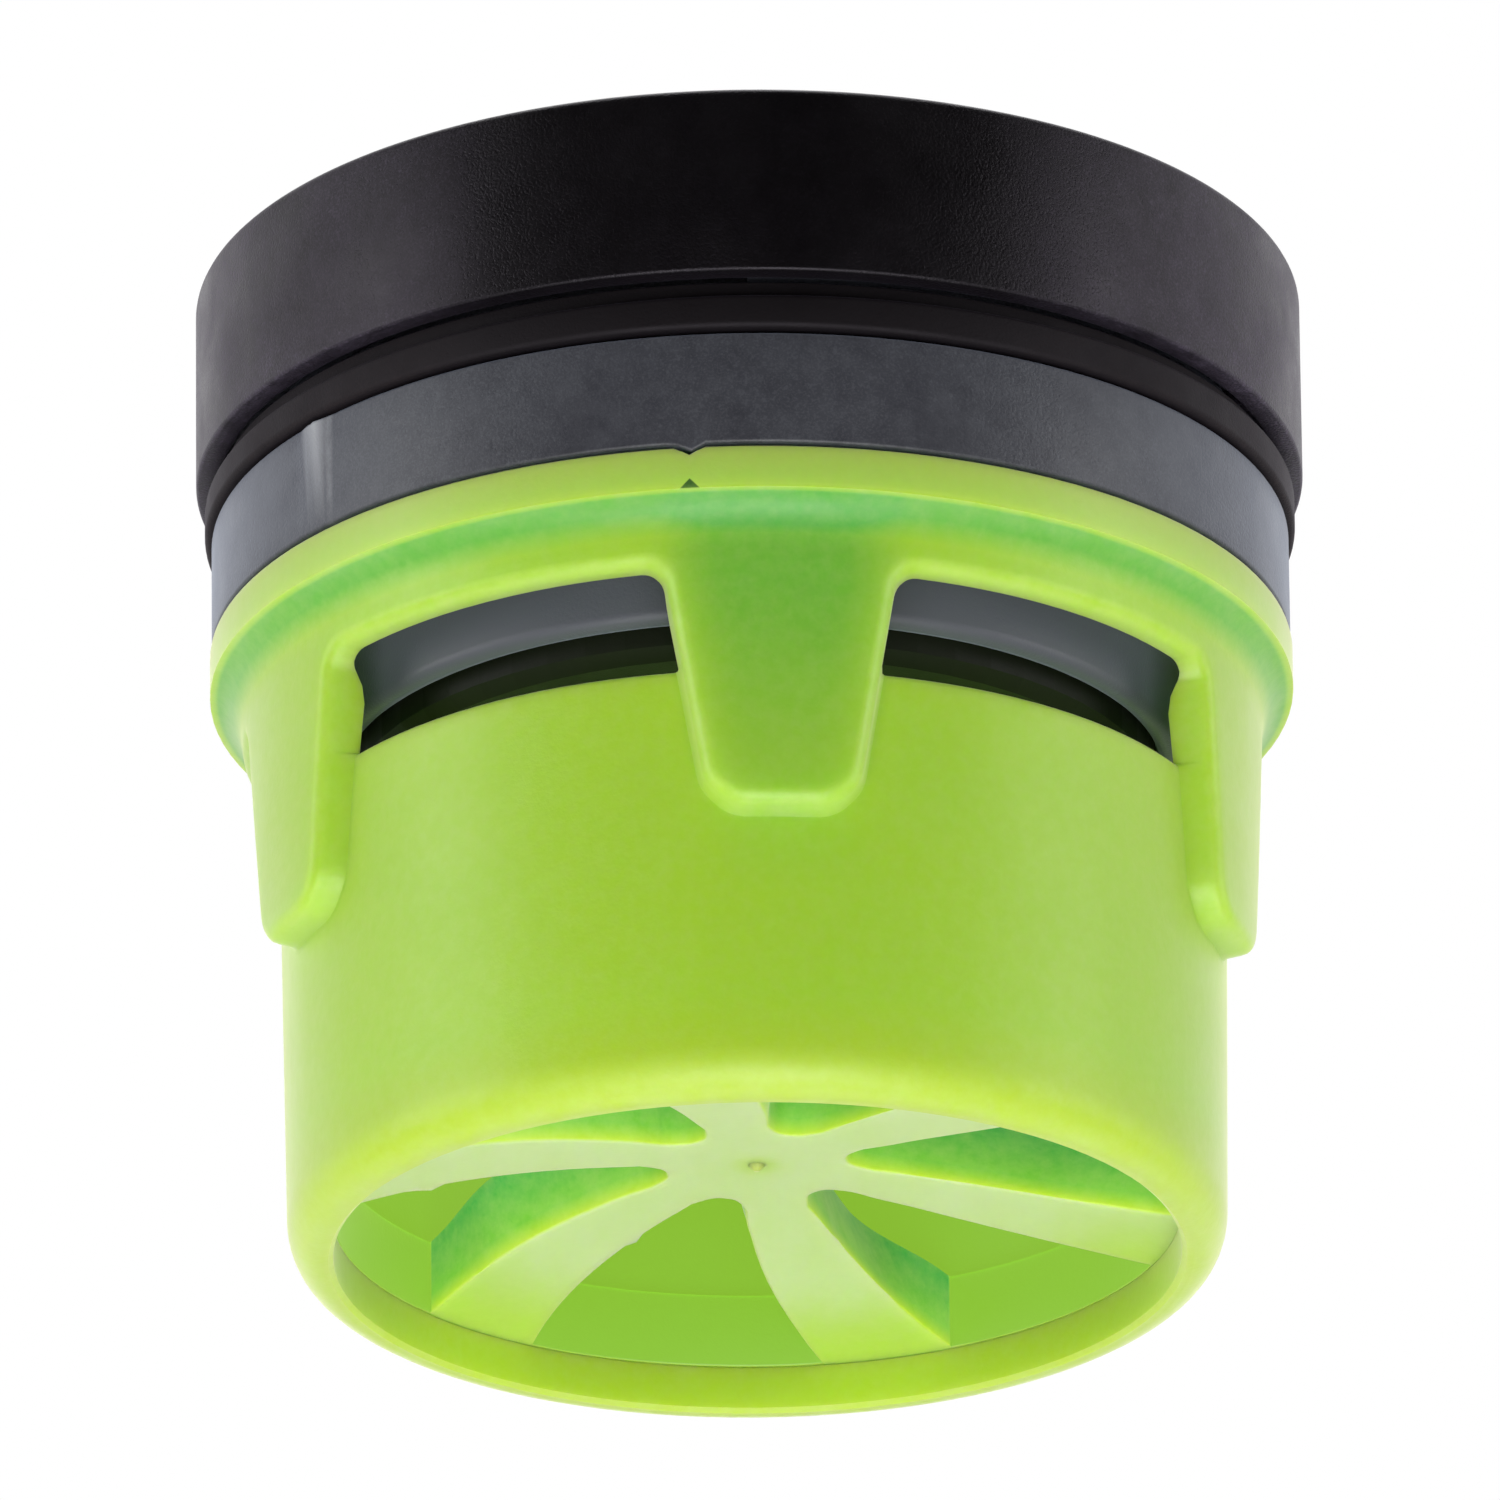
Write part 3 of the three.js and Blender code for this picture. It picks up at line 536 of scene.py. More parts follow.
def makeMesh():
    # plain weave of fine wire; the disc is solid, so its holes are painted dark as shade
    material, tree, shader = newMaterial("wovenMesh")
    waves = []
    for turn in (0.0, math.pi / 2):
        coords = addNode(tree, "ShaderNodeTexCoord")
        mapping = addNode(tree, "ShaderNodeMapping", {"Rotation": (0, 0, turn)})
        wave = addNode(tree, "ShaderNodeTexWave", {"Scale": 420.0, "Distortion": 0.0}, wave_type="BANDS",
                       bands_direction="X")
        tree.links.new(coords.outputs["Object"], mapping.inputs["Vector"])
        tree.links.new(mapping.outputs["Vector"], wave.inputs["Vector"])
        waves.append(wave.outputs["Fac"])
    height = compute(tree, "MAXIMUM", *waves)
    wires = ramp(tree, height, 0.55, 0.75)
    tree.links.new(blendColor(tree, wires, *inner["mesh"]), shader.inputs["Base Color"])
    tree.links.new(wires, shader.inputs["Metallic"])
    addBump(tree, shader, height, 0.8, 0.3 * mm)
    setInputs(shader, {"Roughness": 0.38})
    return material


finish = {
    "body": makeLime("limeBody", limeMarks, 0.0),
    "vanes": makeLime("limeVanes", vaneGlowAndShade, 0.42),
    "grey": makeGrey(),
    "cap": makeBlack("cap"),
    "cup": makeBlack("cup"),
    "hanger": makeBlack("hanger"),
    "rubber": makeBlack("rubber"),
    "ivory": makeIvory(),
    "bait": makeBait(),
    "steel": makeSteel(),
    "mesh": makeMesh(),
}
print("finishes ready")


# modelling helpers

def sectionEdges(bm, corners, closed=True):
    # a section in the XZ plane from (radius, height, rounding) corners in millimetres, roundings bevelled in
    verts = [bm.verts.new((radius * mm, 0, height * mm)) for radius, height, _ in corners]
    count = len(verts)
    for i in range(count if closed else count - 1):
        bm.edges.new((verts[i], verts[(i + 1) % count]))
    for vert, (_, _, rounding) in zip(verts, corners):
        if rounding:
            bmesh.ops.bevel(bm, geom=[vert], offset=rounding * mm, offset_type="OFFSET", segments=5,
                            profile=0.5, affect="VERTICES", material=-1)
    return bm.verts[:] + bm.edges[:]


def turnSection(bm, corners, steps=180, closed=True):
    geom = sectionEdges(bm, corners, closed)
    bmesh.ops.spin(bm, geom=geom, cent=(0, 0, 0), axis=(0, 0, 1), dvec=(0, 0, 0), angle=2 * math.pi,
                   steps=steps, use_merge=True, use_duplicate=False)


def spinThread(bm, section, turn, span, lead, steps):
    # one thread: a section of (radius, height) corners swept round and up
    verts = [bm.verts.new(Vector((0, -radius, height)) * mm) for radius, height in section]
    face = bm.faces.new(verts)
    bmesh.ops.rotate(bm, verts=verts, cent=(0, 0, 0), matrix=Matrix.Rotation(math.radians(turn), 3, "Z"))
    bmesh.ops.spin(bm, geom=verts + list(face.edges) + [face], cent=(0, 0, 0), axis=(0, 0, 1),
                   angle=math.radians(span), dvec=(0, 0, lead * span / 360 / steps * mm), steps=steps,
                   use_duplicate=False)


def keyedGrid(wide, tall):
    # a grid whose corners remember their column and row
    bm = bmesh.new()
    bmesh.ops.create_grid(bm, x_segments=wide, y_segments=tall, size=1.0)
    columnKey = bm.verts.layers.int.new("column")
    rowKey = bm.verts.layers.int.new("row")
    for vert in bm.verts:
        vert[columnKey] = round((vert.co.x + 1) / 2 * wide)
        vert[rowKey] = round((vert.co.y + 1) / 2 * tall)
    return bm, columnKey, rowKey


def cleanSkin(bm):
    bmesh.ops.remove_doubles(bm, verts=bm.verts, dist=0.002 * mm)
    bmesh.ops.recalc_face_normals(bm, faces=bm.faces)


def storeEdges(mesh):
    # keeps how sharply each vertex turns outward, softened over its neighbours
    sharpTurn = 0.3  # radians
    bm = bmesh.new()
    bm.from_mesh(mesh)
    bm.verts.ensure_lookup_table()
    values = []
    for v in bm.verts:
        turns = [e.calc_face_angle_signed(0.0) for e in v.link_edges if e.is_manifold]
        values.append(max(turns + [0.0]))
    soft = []
    for v in bm.verts:
        around = [values[e.other_vert(v).index] for e in v.link_edges] + [values[v.index]] * 2
        soft.append(min(1.0, sum(around) / len(around) / sharpTurn))
    bm.free()
    layer = mesh.attributes.new("edge", "FLOAT", "POINT")
    layer.data.foreach_set("value", soft)


def storeValue(mesh, name, measure):
    # a value per vertex for the materials, from its place in millimetres
    layer = mesh.attributes.new(name, "FLOAT", "POINT")
    layer.data.foreach_set("value", [measure(vert.co / mm) for vert in mesh.vertices])


def finishPiece(bm, name, material, body, nodes, smoothAngle=38, values=None):
    mesh = bpy.data.meshes.new(name)
    bm.to_mesh(mesh)
    bm.free()
    storeEdges(mesh)
    for key, measure in (values or {}).items():
        storeValue(mesh, key, measure)
    mesh.shade_smooth()
    mesh.set_sharp_from_angle(angle=math.radians(smoothAngle))
    mesh.materials.append(material)
    piece = bpy.data.objects.new(name, mesh)
    bpy.context.scene.collection.objects.link(piece)
    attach(piece, body)
    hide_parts(*nodes)
    return piece


# entry housing: body, five ribs, frame, lip and spigot in one skin

lip, spigot = lipRadius / mm, housingTop / mm
housing = {  # millimetres and degrees
    "turn": 3.5, "ribs": 5, "topWidth": 18.8, "footWidth": 11.8, "footHeight": 23.2, "footCorner": 3.2,
    "sill": 35.6, "windowTop": 43.7, "windowCorner": 1.6, "edge": 1.15, "fillet": 0.35, "draft": 0.12,
    "footRadius": lip - 6.1, "bodyRadius": lip - 5.6, "frameRadius": lip - 2.6, "frameDraft": 0.6,
    "cupBore": lip - 8.5, "rimBore": lip - 9.8, "rounding": 3.6, "ribInner": lip - 6.1,
    "frameBore": lip - 4.7, "mouthBore": lip - 7.7, "plateFoot": spigot - 4.5, "lipRadius": lip,
    "lipFoot": spigot - 5.65, "lipTop": spigot - 2.1, "lipRounding": 0.2, "spigotRadius": lip - 5.7,
    "spigotTop": spigot, "sillRounding": 0.5,
    "mark": -6.2, "notchWidth": 1.25, "notchDepth": 0.7, "notchFoot": 50.9, "notchBore": 41,
    "gatherFrom": 45, "gatherOver": 3.5, "footFade": 3.0, "windowFade": 1.6, "innerFade": 3.6,
}


def ribHalf(height):
    h = housing
    foot, top = h["footHeight"], h["windowTop"]
    share = (min(max(height, foot), top) - foot) / (top - foot)
    return (h["footWidth"] + (h["topWidth"] - h["footWidth"]) * share) / 2


def quarter(steps):
    return [math.pi / 2 * i / steps for i in range(steps + 1)]


def housingRows():
    # per row: outer height and radius (None where the ribs decide it), inner height and radius, sill rounding
    h = housing
    rim, bore, mouth = h["rimBore"], h["cupBore"], h["mouthBore"]
    rows = [(0, rim + 0.4, 0.35, rim, 0), (0, rim + 0.6, 0.6, rim, 0), (0, rim + 0.9, 1.2, rim, 0)]
    inside = [(2.4, rim), (3.5, rim), (3.85, rim), (3.9, rim + 0.1), (3.9, bore - 0.3), (3.92, bore - 0.04),
              (4.1, bore), (4.6, bore), (5.4, bore), (6.0, bore)]
    flat = rim + 1.0
    for angle, (height, radius) in zip(quarter(9), inside):
        rows.append((h["rounding"] * (1 - math.cos(angle)), flat + (h["footRadius"] - flat) * math.sin(angle),
                     height, radius, 0))
    foot, sill, top = h["footHeight"], h["sill"], h["windowTop"]
    heights = [4.6, 6.2, 8.5, 11, 13.5, 16, 18.2, 20.0, 21.2]
    around = (-1.0, -0.72, -0.5, -0.3, -0.12, 0.0, 0.12, 0.3, 0.55, 0.85, 1.15, 1.5, 2.0, 2.7, 3.6)
    heights += [foot + above for above in around]
    heights += [28, 29.6, 31.5, 33.2, 34.4, sill - h["sillRounding"]]
    rows += [(z, None, max(z, 6.4), bore, 0) for z in heights]
    for angle in quarter(3)[1:]:
        drop = h["sillRounding"] * (1 - math.sin(angle))
        rows.append((sill - drop, None, sill - drop, bore, h["sillRounding"] * (1 - math.cos(angle))))
    heights = [sill + 0.06, 36.6, 38.2, 39.8, 41.2] + [top - below for below in (1.6, 1.2, 0.8, 0.4)]
    wall, fade = h["frameBore"], h["innerFade"]
    for z in heights:
        rows.append((z, None, z, h["ribInner"] + (wall - h["ribInner"]) * eased((z - top + fade) / fade), 0))
    rows.append((top, None, top, wall, 0))
    for i, angle in enumerate(quarter(5)[1:]):
        rows.append((top + h["edge"] * (1 - math.cos(angle)), None, top + 0.25 * (i + 1), wall, 0))
    start, flare = top + h["edge"], h["lipRadius"] - h["frameRadius"]
    for i, angle in enumerate(quarter(10)[1:]):
        rows.append((start + (h["lipFoot"] - start) * math.sin(angle),
                     h["lipRadius"] - flare * math.cos(angle), 45.2 + 0.45 * i, wall, 0))
    lip, lipTop, plate, bend = h["lipRadius"], h["lipTop"], h["plateFoot"], h["lipRounding"]
    inside = [(plate - 0.3, wall), (plate, wall), (plate, mouth + 0.1), (plate + 0.1, mouth),
              (plate + 0.5, mouth), (plate + 0.9, mouth), (plate + 1.3, mouth)]
    heights = (48.98, 49.3, 49.7, 50.1, 50.6, 51.2, 51.8)
    rows += [(z, lip, height, radius, 0) for z, (height, radius) in zip(heights, inside)]
    for i, angle in enumerate(quarter(3)):
        rows.append((lipTop - bend * (1 - math.sin(angle)), lip - bend * (1 - math.cos(angle)),
                     51.6 + 0.25 * i, mouth, 0))
    rows += [(lipTop, r, z, mouth, 0) for r, z in ((42.6, 52.7), (41.3, 52.9), (38.8, 53.0), (38.3, 53.1))]
    spigot, spigotTop = h["spigotRadius"], h["spigotTop"]
    rows += [(52.6, spigot, 53.2, mouth, 0), (53.3, spigot, 53.4, mouth, 0),
             (spigotTop - 0.4, spigot, 53.7, mouth, 0), (spigotTop - 0.1, spigot - 0.1, 53.9, mouth, 0),
             (spigotTop, spigot - 0.4, 54.1, mouth, 0), (spigotTop, mouth + 0.4, 54.25, mouth + 0.04, 0)]
    return rows


def housingColumns():
    # one sector, rib in the middle: shares of its crest, offsets from its side, shares of the gap
    half = [("crest", share) for share in (0.0, 0.22, 0.44, 0.66, 0.85)]
    half += [("side", a) for a in (-1.15, -0.85, -0.55, -0.3, -0.12, 0.0, 0.12, 0.3, 0.5, 0.72, 1.1, 1.6)]
    half += [("gap", share) for share in (0.14, 0.28, 0.42, 0.57, 0.71, 0.86)]
    left = [(kind, value, -1) for kind, value in reversed(half[1:])]
    return [("gap", 1.0, -1)] + left + [(kind, value, 1) for kind, value in half]


def squareToDisc(x, y):
    # grid squares round a corner become arcs
    if x >= y:
        reach, angle = x, math.pi / 4 * y / x
    else:
        reach, angle = y, math.pi / 2 - math.pi / 4 * x / y
    return reach * math.cos(angle), reach * math.sin(angle)


def eased(value):
    value = min(1.0, max(0.0, value))
    return value * value * (3 - 2 * value)


def roundGrid(x, y, reach, fade):
    # round near the corner, square again further out
    if x <= 0 or y <= 0:
        return x, y
    discX, discY = squareToDisc(x, y)
    share = eased((max(x, y) - reach) / fade)
    return discX + (x - discX) * share, discY + (y - discY) * share


def raisedSkin(side, height):
    # radius of the outer skin, from the distance past a rib's side and the height
    h = housing
    below, corner, bend = h["footHeight"] - height, h["footCorner"], h["windowCorner"]
    if side > -corner and below > -corner:
        outside = math.hypot(side + corner, below + corner) - corner
    else:
        outside = max(side, below)
    under = h["windowTop"] - height
    if max(outside, under) < bend:
        outside = bend - math.hypot(bend - outside, bend - under)
    else:
        outside = min(outside, under)
    rise = (height - h["rounding"]) / (h["sill"] - h["rounding"])
    body = h["footRadius"] + (h["bodyRadius"] - h["footRadius"]) * rise
    taper = max(0.0, (h["windowTop"] - height) / (h["windowTop"] - h["footHeight"]))
    crest, edge = h["frameRadius"] - h["frameDraft"] * taper, h["edge"]
    if outside <= -edge:
        return crest
    if outside <= 0:
        return crest - edge + math.sqrt(max(0.0, edge ** 2 - (outside + edge) ** 2))
    wallFoot = body + h["fillet"]
    if outside < h["draft"]:
        return crest - edge + (wallFoot - crest + edge) * outside / h["draft"]
    run = outside - h["draft"]
    if run < h["fillet"]:
        return wallFoot - math.sqrt(max(0.0, h["fillet"] ** 2 - (h["fillet"] - run) ** 2))
    return body


def housingPoint(column, row, sector, inner):
    h = housing
    kind, value, sign = column
    height, radius, innerHeight, innerRadius, sillRounding = row
    free = radius is None
    base = h["bodyRadius"] if free else radius
    half = ribHalf(height)
    if kind == "crest":
        side = value * (half - h["edge"]) - half
    elif kind == "side":
        side = value
    else:
        start = math.asin((half + h["windowCorner"]) / base)
        side = base * math.sin(start + (math.pi / h["ribs"] - start) * value) - half
    if free and height < h["footHeight"] + h["footCorner"]:
        x, y = roundGrid(side + h["footCorner"], h["footHeight"] + h["footCorner"] - height,
                         h["footCorner"] + h["draft"] + h["fillet"], h["footFade"])
        side, height = x - h["footCorner"], h["footHeight"] + h["footCorner"] - y
    neck = h["windowTop"] - h["windowCorner"]
    if free and height > neck and side < h["windowCorner"]:
        x, y = roundGrid(h["windowCorner"] - side, height - neck, h["windowCorner"] + h["edge"] / 2,
                         h["windowFade"])
        side, height = h["windowCorner"] - x, neck + y
    if free:
        radius = raisedSkin(side, min(height, h["windowTop"] + h["edge"]))
        radius -= sillRounding if side > 0.05 else 0
    across = half + side
    mark = math.radians(h["mark"] - h["turn"])
    if sector == 0 and sign < 0 and height > h["gatherFrom"]:
        # columns gather round the index mark
        nearby = {("crest", 0.85): -h["notchWidth"], ("side", -1.15): -0.6, ("side", -0.85): 0.0,
                  ("side", -0.55): 0.6, ("side", -0.3): h["notchWidth"]}
        if (kind, value) in nearby:
            target = radius * math.sin(-mark) + nearby[(kind, value)]
            across += (target - across) * eased((height - h["gatherFrom"]) / h["gatherOver"])
        away = abs(across - radius * math.sin(-mark))
        depth = h["notchDepth"] * max(0.0, 1 - away / h["notchWidth"])
        if radius > h["notchBore"] and height > h["notchFoot"]:
            height = min(height, h["lipTop"] - depth)
    angle = math.asin(min(1.0, across / radius))
    if inner:
        if h["sill"] - 0.6 < row[0] <= h["windowTop"]:
            innerHeight = height
            innerRadius += sillRounding * 0.7 if side >= 0.05 else 0
            angle = math.asin(min(1.0, across / innerRadius))
        height, radius = innerHeight, innerRadius
    if kind == "gap" and value > 0.99:
        angle = math.pi / h["ribs"]
    turn = math.radians(h["turn"] + sector * 360 / h["ribs"]) + sign * angle
    return Vector((radius * math.sin(turn), -radius * math.cos(turn), height)) * mm


def makeHousing():
    h = housing
    rows, columns = housingRows(), housingColumns()
    bm, columnKey, rowKey = keyedGrid(len(columns) * h["ribs"], len(rows) - 1)

    def place(verts, inner):
        for vert in verts:
            sector, step = divmod(vert[columnKey], len(columns))
            vert.co = housingPoint(columns[step], rows[vert[rowKey]], sector % h["ribs"], inner)

    heights = [row[0] for row in rows]
    sillRow, topRow = heights.index(h["sill"]), heights.index(h["windowTop"])

    def isOpen(face):
        # the window cells: past the rib's side, from the sill to the frame
        steps = [columns[v[columnKey] % len(columns)] for v in face.verts]
        levels = [v[rowKey] for v in face.verts]
        clear = all(kind == "gap" or (kind == "side" and value >= 0) for kind, value, _ in steps)
        return clear and min(levels) >= sillRow and max(levels) <= topRow

    windows = [face for face in bm.faces if isOpen(face)]
    place(bm.verts, False)
    bmesh.ops.delete(bm, geom=windows, context="FACES")
    bmesh.ops.remove_doubles(bm, verts=bm.verts, dist=0.002 * mm)
    skin = bmesh.ops.extrude_face_region(bm, geom=bm.faces[:])
    place([item for item in skin["geom"] if isinstance(item, bmesh.types.BMVert)], True)
    cleanSkin(bm)

    def ribShare(place):
        # 1 on the ribs and above them, 0 between
        pitch = 2 * math.pi / h["ribs"]
        angle = (math.atan2(place.x, -place.y) - math.radians(h["turn"]) + pitch / 2) % pitch - pitch / 2
        return 1 - eased((abs(place.xy.length * math.sin(angle)) - ribHalf(place.z) + 5) / 6.5)

    return finishPiece(bm, "housingShell", finish["body"], "housing", ["entry_housing"],
                       values={"rib": ribShare})


makeHousing()
print("entry housing done")


# foot grille: a dished disc with six openings swept the same way, raised into vanes

grille = {  # millimetres, degrees and shares of the bore
    "vanes": 6, "bore": grilleRadius / mm - 1.0, "radius": grilleRadius / mm + 0.26, "hub": 7.4,
    "foot": grilleLow / mm - 0.26, "dish": 4.25, "height": 6.2, "lead": (99.5, -18.2),
    "trail": (126.0, -17.2, 0.555), "tip": 0.06, "edge": 0.22, "lean": 5.0, "openSteps": 14, "vaneSteps": 10,
    "gateRadius": 0.8, "gateHeight": 0.45, "burrs": 9, "burrSize": 0.32, "burrFrom": 11, "burrTo": 31,
}


def grilleAngles(share):
    g = grille
    lead = g["lead"][0] + g["lead"][1] * share
    trail = g["trail"][0] + g["trail"][1] * (share - g["trail"][2]) ** 2
    return lead, trail


def makeGrille():
    g = grille
    openSteps, vaneSteps = g["openSteps"], g["vaneSteps"]
    perSector = openSteps + vaneSteps
    inner = g["hub"] / g["bore"]
    hubShares = [0.03, 0.07, 0.11, 0.15, 0.185]
    openShares = [inner + (1 - inner) * (i / 22) ** 0.9 for i in range(23)]
    shares = hubShares + openShares + [1 + 0.35 / g["bore"], g["radius"] / g["bore"]]
    firstOpen, lastOpen = len(hubShares), len(hubShares) + len(openShares) - 1
    bm, columnKey, rowKey = keyedGrid(perSector * g["vanes"], len(shares) - 1)

    def underside(radius):
        return g["foot"] + g["dish"] * (1 - min(1.0, radius / g["bore"]) ** 2)

    def isOpen(face):
        steps = [v[columnKey] for v in face.verts]
        levels = [v[rowKey] for v in face.verts]
        step = min(steps) % perSector if max(steps) - min(steps) == 1 else -1
        return 0 <= step < openSteps and min(levels) >= firstOpen and max(levels) <= lastOpen

    openings = [face for face in bm.faces if isOpen(face)]
    for vert in bm.verts:
        sector, step = divmod(vert[columnKey], perSector)
        share = shares[vert[rowKey]]
        lead, trail = grilleAngles(share)
        if step <= openSteps:
            across = step / openSteps
            angle = lead + (trail - lead) * across
            # the openings' inner ends are rounded
            pull = g["tip"] * abs(2 * across - 1) ** 3 * (1 - eased((share - inner - 0.02) / 0.22))
            share += pull * eased((share - 0.1) / (inner - 0.1))
        else:
            angle = trail + (lead + 360 / g["vanes"] - trail) * (step - openSteps) / vaneSteps
        turn = math.radians(angle + 360 / g["vanes"] * sector)
        radius = share * g["bore"]
        vert.co = Vector((radius * math.cos(turn), radius * math.sin(turn), underside(radius))) * mm
    bmesh.ops.delete(bm, geom=openings, context="FACES")
    bmesh.ops.remove_doubles(bm, verts=bm.verts, dist=0.002 * mm)
    hubLoop = [e for e in bm.edges if e.is_boundary and all(v.co.xy.length < 2 * mm for v in e.verts)]
    bmesh.ops.contextual_create(bm, geom=hubLoop)
    raised = bmesh.ops.extrude_face_region(bm, geom=bm.faces[:])
    top = [item for item in raised["geom"] if isinstance(item, bmesh.types.BMVert)]
    bmesh.ops.translate(bm, verts=top, vec=(0, 0, g["height"] * mm))
    # the vanes lean as they rise, upright again at the ring
    for vert in top:
        radius = vert.co.xy.length / mm
        turn = g["lean"] * eased((radius - g["hub"]) / 6) * (1 - eased((radius - 22) / 11))
        vert.co = Matrix.Rotation(math.radians(turn), 3, "Z") @ vert.co
    cleanSkin(bm)
    # soften the lower edges of the vanes and openings
    corners = [e for e in bm.edges if e.is_manifold and e.calc_face_angle() > 1.0
               and max(v.co.z - underside(v.co.xy.length / mm) * mm for v in e.verts) < 0.5 * mm]
    bmesh.ops.bevel(bm, geom=corners, offset=g["edge"] * mm, offset_type="OFFSET", segments=2, profile=0.5,
                    affect="EDGES", clamp_overlap=True, material=-1)
    # a few crumbs of flash stand off the edges
    rims = [v for v in bm.verts
            if g["burrFrom"] * mm < v.co.xy.length < g["burrTo"] * mm and v.calc_shell_factor() > 1.02
            and v.co.z < underside(v.co.xy.length / mm) * mm + 0.2 * mm]
    for vert in random.sample(rims, min(g["burrs"], len(rims))):
        vert.co += vert.normal * random.uniform(0.4, 1.0) * g["burrSize"] * mm
    # the gate's stub at the hub
    nub = bmesh.ops.create_cone(bm, cap_ends=True, segments=20, radius1=0.3 * g["gateRadius"] * mm,
                                radius2=g["gateRadius"] * mm, depth=g["gateHeight"] * 1.3 * mm)
    bmesh.ops.translate(bm, verts=nub["verts"], vec=(0, 0, underside(0) * mm - 0.4 * g["gateHeight"] * mm))
    bmesh.ops.recalc_face_normals(bm, faces=bm.faces)

    def depth(place):
        # share of the vane's height above its lower edge
        return min(1.0, max(0.0, (place.z - underside(place.xy.length)) / g["height"]))

    def fade(place):
        # the painted sheen under the vanes is weaker round the gate and towards the ring at the back
        radius = place.xy.length
        outer = eased((radius - 21) / 11) * eased((place.y + 4) / 18)
        return max(0.9 * outer, 0.75 * (1 - eased((radius - 0.6) / 2.4)))

    return finishPiece(bm, "footVanes", finish["vanes"], "housing", ["vane_grille"], 50,
                       values={"depth": depth, "fade": fade})


makeGrille()
print("foot grille done")


# grey collar: skirt, band and threaded neck, with the index tooth and a crumb of flash

band, neck = collarRadius / mm, neckTop / mm
collar = {  # millimetres and degrees
    "skirtOuter": band - 8.65, "skirtBore": band - 10.75, "skirtFoot": skirtLow / mm,
    "channelRadius": band - 2.5, "channelTop": neck - 18.7, "radius": band, "foot": neck - 21.0,
    "top": neck - 11.5, "web": neck - 16.2, "neckRadius": band - 3.15, "neckBore": band - 5.55,
    "neckTop": neck, "rounding": 0.3, "toothReach": 0.95 * 1.25, "toothDrop": 0.75, "mark": -6.2,
    "threads": 3, "span": 100, "lead": 12, "threadFoot": neck - 5.3, "threadSteps": 50,
    "depth": 1.9, "rootHalf": 1.0, "crestHalf": 0.5,
    "flashTurn": -52.8, "flashWidth": 1.9, "flashHeight": 0.75,
}


def makeCollar():
    c = collar
    half = (c["skirtOuter"] - c["skirtBore"]) / 2
    corners = [
        (c["skirtBore"], c["skirtFoot"], half * 0.98), (c["skirtOuter"], c["skirtFoot"], half * 0.98),
        (c["skirtOuter"], c["channelTop"], 0.3), (c["channelRadius"], c["channelTop"], 0.3),
        (c["channelRadius"], c["foot"], 0.2), (c["radius"], c["foot"], c["rounding"]),
        (c["radius"], c["top"], c["rounding"]), (c["neckRadius"], c["top"], 0.3),
        (c["neckRadius"], c["neckTop"], 0.4), (c["neckBore"], c["neckTop"], 0.4),
        (c["neckBore"], c["web"], 0.3), (c["skirtBore"], c["web"], 0.3),
    ]
    bm = bmesh.new()
    turnSection(bm, corners, 240)
    cleanSkin(bm)
    # the tooth points down into the lip's notch
    for vert in bm.verts:
        angle = math.atan2(vert.co.x, -vert.co.y)
        away = abs(angle - math.radians(c["mark"])) * c["radius"]
        radius, height = vert.co.xy.length / mm, vert.co.z / mm
        if radius > c["channelRadius"] + 0.3 and height < c["foot"] + 0.4 and away < c["toothReach"]:
            vert.co.z -= c["toothDrop"] * (1 - away / c["toothReach"]) * mm
        # a torn crumb of flash stands off the upper edge
        seam = abs(angle - math.radians(c["flashTurn"])) * c["radius"]
        if radius > c["radius"] - 0.4 and height > c["top"] - 0.4 and seam < c["flashWidth"]:
            share = random.uniform(0.3, 0.9)
            vert.co.xy *= 1 + share * c["flashHeight"] * (1 - seam / c["flashWidth"]) / radius
    # three threads climb the neck
    root, crest, foot = c["neckRadius"] - 0.3, c["neckRadius"] + c["depth"], c["threadFoot"]
    section = [(root, foot - c["rootHalf"]), (crest, foot - c["crestHalf"]),
               (crest, foot + c["crestHalf"]), (root, foot + c["rootHalf"])]
    for start in range(c["threads"]):
        spinThread(bm, section, 120 * start, c["span"], c["lead"], c["threadSteps"])
    bmesh.ops.recalc_face_normals(bm, faces=bm.faces)

    def flash(place):
        # 1 on the crumb
        seam = abs(math.atan2(place.x, -place.y) - math.radians(c["flashTurn"])) * c["radius"]
        near = place.xy.length > c["radius"] - 0.6 and place.z > c["top"] - 0.4
        return max(0.0, 1 - seam / c["flashWidth"]) if near else 0.0

    return finishPiece(bm, "collarBand", finish["grey"], "head", ["collar_ring"],
                       values={"flash": flash})


makeCollar()
print("collar done")


# rubber band under the cap, seated a little unevenly

sealBand = {  # millimetres and degrees
    "bore": bandRadius / mm - 3.4, "radius": bandRadius / mm, "foot": bandLow / mm,
    "stepFoot": bandLow / mm + 3.1, "stepRadius": bandRadius / mm - 1.1, "top": bandTop / mm,
    "rounding": 0.45, "lean": 0.22, "leanTurn": -70.0,
}


def makeSealBand():
    s = sealBand
    corners = [(s["bore"], s["foot"], 0.2), (s["radius"], s["foot"], s["rounding"]),
               (s["radius"], s["stepFoot"], s["rounding"]), (s["stepRadius"], s["stepFoot"], 0.15),
               (s["stepRadius"], s["top"], 0.2), (s["bore"], s["top"], 0.2)]
    bm = bmesh.new()
    turnSection(bm, corners, 180)
    cleanSkin(bm)
    # pressed in unevenly: the step sits lower on one side
    for vert in bm.verts:
        angle = math.atan2(vert.co.x, -vert.co.y)
        if s["foot"] + 1.0 < vert.co.z / mm < s["top"] - 0.5:
            vert.co.z -= s["lean"] * (1 + math.cos(angle - math.radians(s["leanTurn"]))) * mm
    return finishPiece(bm, "capBand", finish["rubber"], "head", ["seal_band"])


